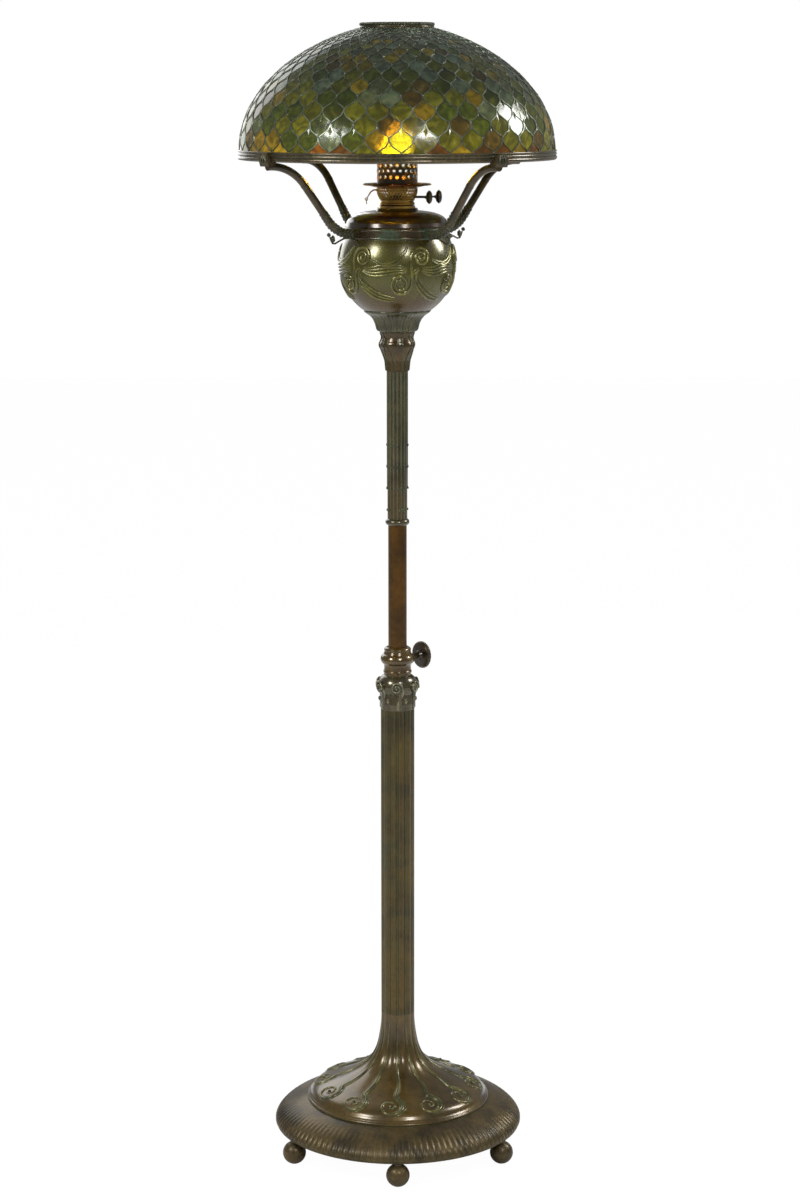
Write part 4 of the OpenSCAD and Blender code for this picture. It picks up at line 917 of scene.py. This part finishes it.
def on_urn(across, z, lift):
    """Point on the urn from a distance along its girth and a height, in millimetres."""
    dz = max(RELIEF_LOW, min(RELIEF_HIGH, z - URN_MIDDLE_Z))
    flat = math.sqrt(URN_ARC**2 - dz**2)
    r = URN_GIRTH_R - URN_ARC + flat * (1 + lift / URN_ARC)
    return around(r, across / URN_GIRTH_R * RADIAN, URN_MIDDLE_Z + dz * (1 + lift / URN_ARC))


def urn_coil(x, z, big, small, turns, start):
    points = []
    for k in range(COIL_STEPS + 1):
        s = k / COIL_STEPS
        a = math.radians(start - 360 * turns * s)
        r = big + (small - big) * s**0.8
        points.append((x + r * math.cos(a), z + r * math.sin(a)))
    return points


def strands(path, spread, rows):
    """Rods side by side along a curve, closing up at its ends."""
    middle = [curve_point(path, k / STRAND_STEPS) for k in range(STRAND_STEPS + 1)]
    shares = [k / STRAND_STEPS for k in range(STRAND_STEPS + 1)]
    gaps = [0.3 + math.sin(math.pi * (0.1 + 0.8 * t)) for t in shares]
    radii = [1.9 * math.sin(math.pi * (0.08 + 0.84 * t)) ** 0.7 for t in shares]
    for row in rows:
        strand = offset_path(middle, [row * spread * gap for gap in gaps])
        yield [on_urn(across, z, 0.2) for across, z in strand], radii


rods = []
for i in range(SCROLLS):
    x = (i - 0.6) * SCROLL_GIRTH
    coil_high = urn_coil(x + SCROLL_GIRTH, URN_MIDDLE_Z + 14, 15.0, 1.8, 2.3, 180)
    coil_low = urn_coil(x + SCROLL_GIRTH * 0.65, URN_MIDDLE_Z - 24, 17.0, 1.8, 2.5, 0)
    (x0, z0), (x1, z1) = coil_low[0], coil_high[0]
    wave = [(x0, z0), (x0 + 1, z0 + 14), (x1 - 1, z1 - 14), (x1, z1)]
    rise = [curve_point(wave, k / WAVE_STEPS) for k in range(1, WAVE_STEPS)]
    whole = list(reversed(coil_low)) + rise + coil_high
    radii = [1.2 + 1.1 * math.sin(math.pi * k / (len(whole) - 1)) for k in range(len(whole))]
    rods.append(([on_urn(across, z, 0.3) for across, z in whole], radii))
    bands = (
        (((2, z1 - 17), (20, z1 - 27), (40, z1 - 10), (67, z0 + 19)), 3.6, (-1.5, -0.5, 0.5, 1.5)),
        (((-10, z1 - 22), (-4, z0 - 8), (18, z0 - 21), (48, z0 - 22)), 3.8, (-1, 0, 1)),
        (((18, z1 - 4), (36, z1 - 16), (54, z1 - 12), (68, z1 + 14)), 3.6, (-0.5, 0.5)),
    )
    for guides, spread, rows in bands:
        rods.extend(strands([(x + along, z) for along, z in guides], spread, rows))
    beside = [(x0 + 5, z0 + 2), (x0 + 6, z0 + 12), (x1 + 3, z1 - 22), (x1 + 12, z1 - 17)]
    rods.extend(strands(beside, 3.4, (-0.3, 0.8)))
# The relief takes the lighter scroll bronze, a painted highlight on its raised coils and strands.
finish_piece(tubes(rods), "urn_scrolls", "riser", finishes["scroll"])

# Arms: berries on their lowest part, curls below them and leaves at the shade's clips
ARM_BEND, ARM_RISE = 51.5, 51.0
BERRY_ROWS, BERRY_STEP, BERRIES_ROUND, BERRY_OUT = 22, 2.9, 7, 5.6
arm_bend_centre = (ARM_ROOT_R, ARM_Z + ARM_BEND)
curl_buds = ((115.3, 1374, 3.6, 1.6), (122.6, 1380, 3.3, 1.0))
curl_stem = [
    (77, 1373.5), (87, 1375), (96, 1374), (105, 1370.4), (111.5, 1367.4), (116, 1367.8), (118.6, 1372),
    (120.6, 1377),
]
curl_stem_radii = [1.9, 1.6, 1.4, 1.3, 1.3, 1.3, 1.3, 1.2]
clip_leaf = [(231.2, 1479.5), (235.3, 1484), (234.9, 1490), (232.4, 1495.6)]
clip_leaf_radii = [1.3, 1.4, 1.2, 0.7]


def arm_low(run):
    """Point on the arm and its turn in radians, at a distance along it from the band."""
    a = min(run / ARM_BEND, math.radians(ARM_RISE))
    rest = max(0, run - ARM_BEND * math.radians(ARM_RISE))
    r = arm_bend_centre[0] + ARM_BEND * math.sin(a) + rest * math.cos(a)
    return r, arm_bend_centre[1] - ARM_BEND * math.cos(a) + rest * math.sin(a), a


def berry_rows(turn):
    """Places of the berries round one arm, smaller towards the last row."""
    out = around(1, turn, 0).normalized()
    side = around(1, turn + 90, 0).normalized()
    for row in range(BERRY_ROWS):
        r, z, a = arm_low(row * BERRY_STEP)
        centre = around(r, turn, z)
        normal = out * math.sin(a) - UP * math.cos(a)
        last = 1 - 0.35 * (row / (BERRY_ROWS - 1)) ** 3
        for k in range(BERRIES_ROUND):
            b = math.radians((k + (row % 2) / 2) * 360 / BERRIES_ROUND)
            away = normal * math.cos(b) + side * math.sin(b)
            size = (1.5 + 0.7 * rand.random()) * last
            yield ball_at(centre + away * BERRY_OUT * MM, size, 0.9, away)


places = []
rods = []
berry = bead_mesh()
for arm in range(ARM_COUNT):
    turn = ARM_TURN + arm * 360 / ARM_COUNT
    places.extend(berry_rows(turn))
    for ball_r, ball_z, size, tall in curl_buds:
        places.append(ball_at(around(ball_r, turn, ball_z), size, tall))
    rods.append(([around(r, turn, z) for r, z in curl_stem], curl_stem_radii))
    for hand in (-1, 0, 1):
        leaf = [around(r, turn + hand * (1.5 - 0.25 * k), z) for k, (r, z) in enumerate(clip_leaf)]
        rods.append((leaf, clip_leaf_radii))
finish_piece(copies(berry, places), "arm_berries", "riser", finishes["berry"])
finish_piece(tubes(rods), "arm_curls", "riser", finishes["berry"])

# Burner: pierced basket, wick knobs and flames
BASKET_FOOT_R, BASKET_SWELL, BASKET_ROWS, BASKET_STEPS = 24.2, 4.5, 40, 8
HINGE_Y = 2.7
hinge_lugs = [(-27.5, 1438.5), (-29.1, 1440.0), (-30.3, 1440.2)]
knob_profile = [
    (3.0, -3.4), (5.6, -2.8), (7.6, -1.6), (8.8, 0.2), (9.1, 1.6), (8.8, 3.0), (7.6, 4.4), (5.6, 5.3),
    (2.6, 5.9), (0.3, 6.0),
]
wick_knobs = (("front_winder", 44.6, -WINDER_Y), ("rear_winder", 58.6, WINDER_Y))
# The flames begin over the highest place of the wicks
FLAME_Z, FLAME_H, FLAME_HALF_WIDTH, FLAME_HALF_DEPTH = 1474.5, 60.7, 24.0, 5.2


def basket_r(t):
    """Radius of the pierced basket from its foot (0) to its top (1)."""
    return BASKET_FOOT_R + BASKET_SWELL * math.sin(math.radians(90 * min(1, t * 1.25)))


rods = []
for i in range(BASKET_ROWS):
    for hand in (-1, 1):
        points = []
        for k in range(BASKET_STEPS + 1):
            t = k / BASKET_STEPS
            angle = i * 360 / BASKET_ROWS + hand * 15 * t
            points.append(around(basket_r(t), angle, BASKET_Z + 1.5 + 16 * t))
        rods.append((points, 0.75))
for rise, r in ((0.9, BASKET_FOOT_R), (17.6, 28.6)):
    rods.append(([around(r, angle, BASKET_Z + rise) for angle in range(0, 361, 5)], 1.0))
for side in (-1, 1):
    rods.append(([Vector((x, side * HINGE_Y, z)) * MM for x, z in hinge_lugs], 1.3))
finish_piece(tubes(rods, 6), "basket_mesh", "burner", finishes["brass"], ["basket"])

for body, knob_x, knob_y in wick_knobs:
    knob = turned(knob_profile, 48)
    choose(knob)
    knob.rotation_euler = (0, math.radians(90), 0)
    knob.location = Vector((knob_x, knob_y, WINDER_Z)) * MM
    settle_place()
    smooth(knob, 60)
    finish_piece(knob, body + "_knob", body, finishes["knob"])


def make_flame(side):
    clear()
    bpy.ops.mesh.primitive_uv_sphere_add(segments=20, ring_count=12, radius=1, location=(0, 0, 0))
    flame = bpy.context.object
    for vertex in flame.data.vertices:
        rise = (vertex.co.z + 1) / 2
        taper = math.sqrt(max(0, 1 - rise**3)) * min(1, 0.55 + rise) + 0.04
        x = vertex.co.x * FLAME_HALF_WIDTH * taper
        y = side * WICK_Y + vertex.co.y * FLAME_HALF_DEPTH * taper
        vertex.co = Vector((x, y, FLAME_Z + rise * FLAME_H)) * MM
    return flame


flames = [make_flame(side) for side in (-1, 1)]
clear()
for flame in flames:
    flame.select_set(True)
bpy.context.view_layer.objects.active = flames[0]
bpy.ops.object.join()
smooth(flames[0])
finish_piece(flames[0], "wick_flames", "burner", finishes["flame"])

# Shade: glass tiles between leads, on a net whose rows narrow with the dome
CROWN_PSI = math.acosh(SHADE_R / CROWN_R)
BOW, FLICK, CAME_STEPS = 0.125, 0.045, 6
TILE_TOP, TILE_UNDER, TILE_TILT = -0.2, -2.6, 0.035
FINE_ROW = 9
came_section = [(-0.95, -0.3), (-0.6, 0.75), (0.6, 0.75), (0.95, -0.3), (0.7, -3.3), (-0.7, -3.3)]
tile_colours = {
    "olive": "#666c20", "moss": "#4c5c22", "gold": "#86781c", "amber": "#8c5c18", "rust": "#64441c",
    "teal": "#687a68", "smoke": "#5e6a50", "umber": "#544a24",
}
# Colours to draw from, up to a row
row_mix = [
    (-1, "amber olive rust gold olive"),
    (2, "olive olive moss gold moss moss umber teal"),
    (6, "olive moss moss gold umber smoke olive teal"),
    (10, "olive moss smoke umber smoke teal gold smoke"),
    (17, "smoke smoke moss teal smoke umber"),
]


def shade_point(row, column, lift=0.0):
    """Point and outward normal of the glass at a row and a column of the tile net."""
    psi = CROWN_PSI * row / TILE_ROWS
    share = min(1.0, 1 / math.cosh(psi))
    r, z = SHADE_R * share, SHADE_RISE * math.sqrt(1 - share**SHADE_POWER)
    angle = TILE_TURN + column * 360 / TILES
    normal_r = SHADE_POWER / 2 * share ** (SHADE_POWER - 1) / SHADE_R
    normal_z = z / SHADE_RISE**2
    length = math.hypot(normal_r, normal_z)
    a = math.radians(angle)
    normal = Vector((math.sin(a) * normal_r, -math.cos(a) * normal_r, normal_z)) / length
    return around(r, angle, GLASS_Z + z) + normal * lift * MM, normal


def came_line(row, column, side):
    """Net points of the lead that climbs from a crossing to the next row, bowed outwards."""
    line = []
    for k in range(CAME_STEPS + 1):
        t = k / CAME_STEPS
        bow = BOW * math.sin(math.pi * t) - FLICK * math.sin(2 * math.pi * t)
        line.append((row + t - bow, column + side * (t + bow) / 2))
    return line


def crossing(row, j):
    return j + (row % 2) / 2


def tile_outline(row, column):
    """Net points round a tile: half a tile along the rim, a whole one, or one cut by the crown."""
    if row < 0:
        left = came_line(0, column - 0.5, 1)[1:]
        right = came_line(0, column + 0.5, -1)[1:-1]
        return [(0, column + 0.5)] + right + left[::-1] + [(0, column - 0.5)]
    outline = came_line(row, column, 1)
    if row + 1 < TILE_ROWS:
        outline += came_line(row + 1, column + 0.5, -1)[1:]
        outline += came_line(row + 1, column - 0.5, 1)[-2::-1]
    else:
        outline += [(TILE_ROWS, column), (TILE_ROWS, column - 0.5)]
    return outline + came_line(row, column, -1)[-2:0:-1]


def tile_paint(row):
    words = next(mix for top, mix in row_mix if row <= top).split()
    colour = Vector(tone(tile_colours[rand.choice(words)])[:3])
    return colour * (0.75 + 0.5 * rand.random())


glass = bmesh.new()
paint = glass.verts.layers.float_color.new("tile_colour")
seeds = glass.verts.layers.float_color.new("tile_seed")
for row in range(-1, TILE_ROWS):
    for j in range(TILES):
        outline = tile_outline(row, crossing(row, j))
        middle = tuple(sum(point[i] for point in outline) / len(outline) for i in (0, 1))
        colour = tile_paint(row)
        seed = (rand.random() * 3, rand.random() * 3, rand.random() * 3, 1)
        heart, normal = shade_point(*middle)
        tilt = Vector((rand.uniform(-1, 1), rand.uniform(-1, 1), rand.uniform(-1, 1))) * TILE_TILT
        layers = []
        for lift in (TILE_TOP, TILE_UNDER):
            ring = []
            for point in outline + [middle]:
                place, _ = shade_point(point[0], point[1], lift)
                place += normal * (place - heart).dot(tilt)
                vert = glass.verts.new(place)
                vert[paint] = (*colour, 1)
                vert[seeds] = seed
                ring.append(vert)
            layers.append(ring)
        top, under = layers
        n = len(outline)
        for k in range(n):
            m = (k + 1) % n
            glass.faces.new((top[k], top[m], top[n]))
            glass.faces.new((under[m], under[k], under[n]))
            glass.faces.new((top[m], top[k], under[k], under[m]))
tiles = object_from(glass, "shade_tiles")
turn_outwards(tiles)
smooth(tiles, 30)
finish_piece(tiles, "shade_tiles", "shade", finishes["glass"], ["shade_glass"])

lead = bmesh.new()
for row in range(TILE_ROWS):
    narrow = 1.0 if row < FINE_ROW else 0.85
    for j in range(TILES):
        for side in (-1, 1):
            line = came_line(row, crossing(row, j), side)
            rings = []
            for k, spot in enumerate(line):
                place, normal = shade_point(*spot)
                after, before = line[min(k + 1, CAME_STEPS)], line[max(k - 1, 0)]
                ahead = shade_point(*after)[0] - shade_point(*before)[0]
                across = normal.cross(ahead).normalized()
                rings.append([
                    lead.verts.new(place + (across * a * narrow + normal * b) * MM) for a, b in came_section
                ])
            corners = len(came_section)
            for one, two in zip(rings, rings[1:]):
                for k in range(corners):
                    m = (k + 1) % corners
                    lead.faces.new((one[k], one[m], two[m], two[k]))
            lead.faces.new(rings[0])
            lead.faces.new(rings[-1][::-1])
cames = object_from(lead, "shade_cames")
turn_outwards(cames)
smooth(cames, 50)
finish_piece(cames, "shade_cames", "shade", finishes["came"])

places = []
for row in range(TILE_ROWS + 1):
    for j in range(TILES):
        place, normal = shade_point(row, crossing(row, j), 0.4)
        places.append(ball_at(place, 1.75 if row < FINE_ROW else 1.4, 0.5, normal))
finish_piece(copies(berry, places), "came_joints", "shade", finishes["came"])

# Rope of two strands round the crown
ROPE_R, ROPE_Z, STRAND_OFF, ROPE_TWISTS, TWIST_STEPS = 51.4, CROWN_Z + 5.1, 1.25, 40, 8
rods = []
for strand in (0, 180):
    points = []
    for k in range(ROPE_TWISTS * TWIST_STEPS + 1):
        a = math.radians(k / TWIST_STEPS * 360 + strand)
        angle = k / (ROPE_TWISTS * TWIST_STEPS) * 360
        points.append(around(ROPE_R + STRAND_OFF * math.cos(a), angle, ROPE_Z + STRAND_OFF * math.sin(a)))
    rods.append((points, 1.3))
finish_piece(tubes(rods, 6), "crown_rope", "shade", finishes["rope"])


# Studio
FLOOR_SIZE, FLOOR_WHITE, FLOOR_SHARE = 16, 1.04, 0.94
ROOM_LIGHT, GLOSSY_LIGHT = 0.26, -0.02
CAMERA_PLACE, CAMERA_PITCH, CAMERA_ROLL, CAMERA_LENS = (0.0042, -4.096, 1.606), 79.42, 0.04, 84.75
softboxes = (
    ("left softbox", (-2.4, -2.0, 2.8), (0, 0, 1.0), (0.8, 1.0), 56),
    ("front softbox", (1.05, -3.2, 3.0), (0, 0, 1.0), (0.6, 0.7), 40),
    ("right softbox", (2.8, 0.7, 2.7), (0, 0, 1.1), (0.8, 1.1), 50),
    ("back softbox", (-1.2, 2.8, 2.2), (0, 0, 1.1), (2.2, 2.2), 26),
)


def seen_straight(tree, path):
    """One for a ray from the camera or through glass."""
    return sums(tree, "MAXIMUM", path.outputs["Is Camera Ray"], path.outputs["Is Transmission Ray"])


def make_stage():
    """Floor that takes the lamp's shadow and looks white."""
    clear()
    bpy.ops.mesh.primitive_plane_add(size=FLOOR_SIZE, location=(0, 3, 0))
    floor = bpy.context.object
    settle_place()
    floor.name = "studio_floor"
    material = bpy.data.materials.new("pale floor")
    material.use_nodes = True
    tree = material.node_tree
    tree.nodes.clear()
    out = tree.nodes.new("ShaderNodeOutputMaterial")
    matte = put(tree, "ShaderNodeBsdfDiffuse", {"Color": (0.86, 0.86, 0.86, 1)})
    white = put(tree, "ShaderNodeEmission", {"Color": (1, 1, 1, 1), "Strength": FLOOR_WHITE})
    path = tree.nodes.new("ShaderNodeLightPath")
    seen = sums(tree, "MULTIPLY", seen_straight(tree, path), FLOOR_SHARE)
    mixed = put(tree, "ShaderNodeMixShader", {0: seen, 1: matte.outputs[0], 2: white.outputs[0]})
    tree.links.new(mixed.outputs[0], out.inputs["Surface"])
    floor.data.materials.append(material)


def make_world():
    """White background, with a plain weaker light of its own on the lamp."""
    world = bpy.data.worlds.new("studio")
    scene.world = world
    world.use_nodes = True
    tree = world.node_tree
    tree.nodes.clear()
    out = tree.nodes.new("ShaderNodeOutputWorld")
    path = tree.nodes.new("ShaderNodeLightPath")
    on_lamp = sums(tree, "MULTIPLY_ADD", path.outputs["Is Glossy Ray"], GLOSSY_LIGHT, ROOM_LIGHT)
    strength = sums(tree, "MAXIMUM", seen_straight(tree, path), on_lamp)
    back = put(tree, "ShaderNodeBackground", {"Color": (1, 1, 1, 1), "Strength": strength})
    tree.links.new(back.outputs[0], out.inputs["Surface"])


def make_softbox(name, spot, aim, size, power):
    data = bpy.data.lights.new(name, "AREA")
    data.shape = "RECTANGLE"
    data.size, data.size_y = size
    data.energy = power
    lamp = bpy.data.objects.new(name, data)
    scene.collection.objects.link(lamp)
    lamp.location = spot
    lamp.rotation_euler = (Vector(aim) - Vector(spot)).to_track_quat("-Z", "Y").to_euler()


def make_camera():
    data = bpy.data.cameras.new("camera")
    camera = bpy.data.objects.new("camera", data)
    scene.collection.objects.link(camera)
    camera.location = CAMERA_PLACE
    camera.rotation_euler = (math.radians(CAMERA_PITCH), math.radians(CAMERA_ROLL), 0)
    data.sensor_width = 36
    data.lens = CAMERA_LENS
    data.clip_start, data.clip_end = 0.05, 60
    scene.camera = camera


make_stage()
make_world()
for softbox in softboxes:
    make_softbox(*softbox)
make_camera()
scene.view_settings.view_transform = "Standard"
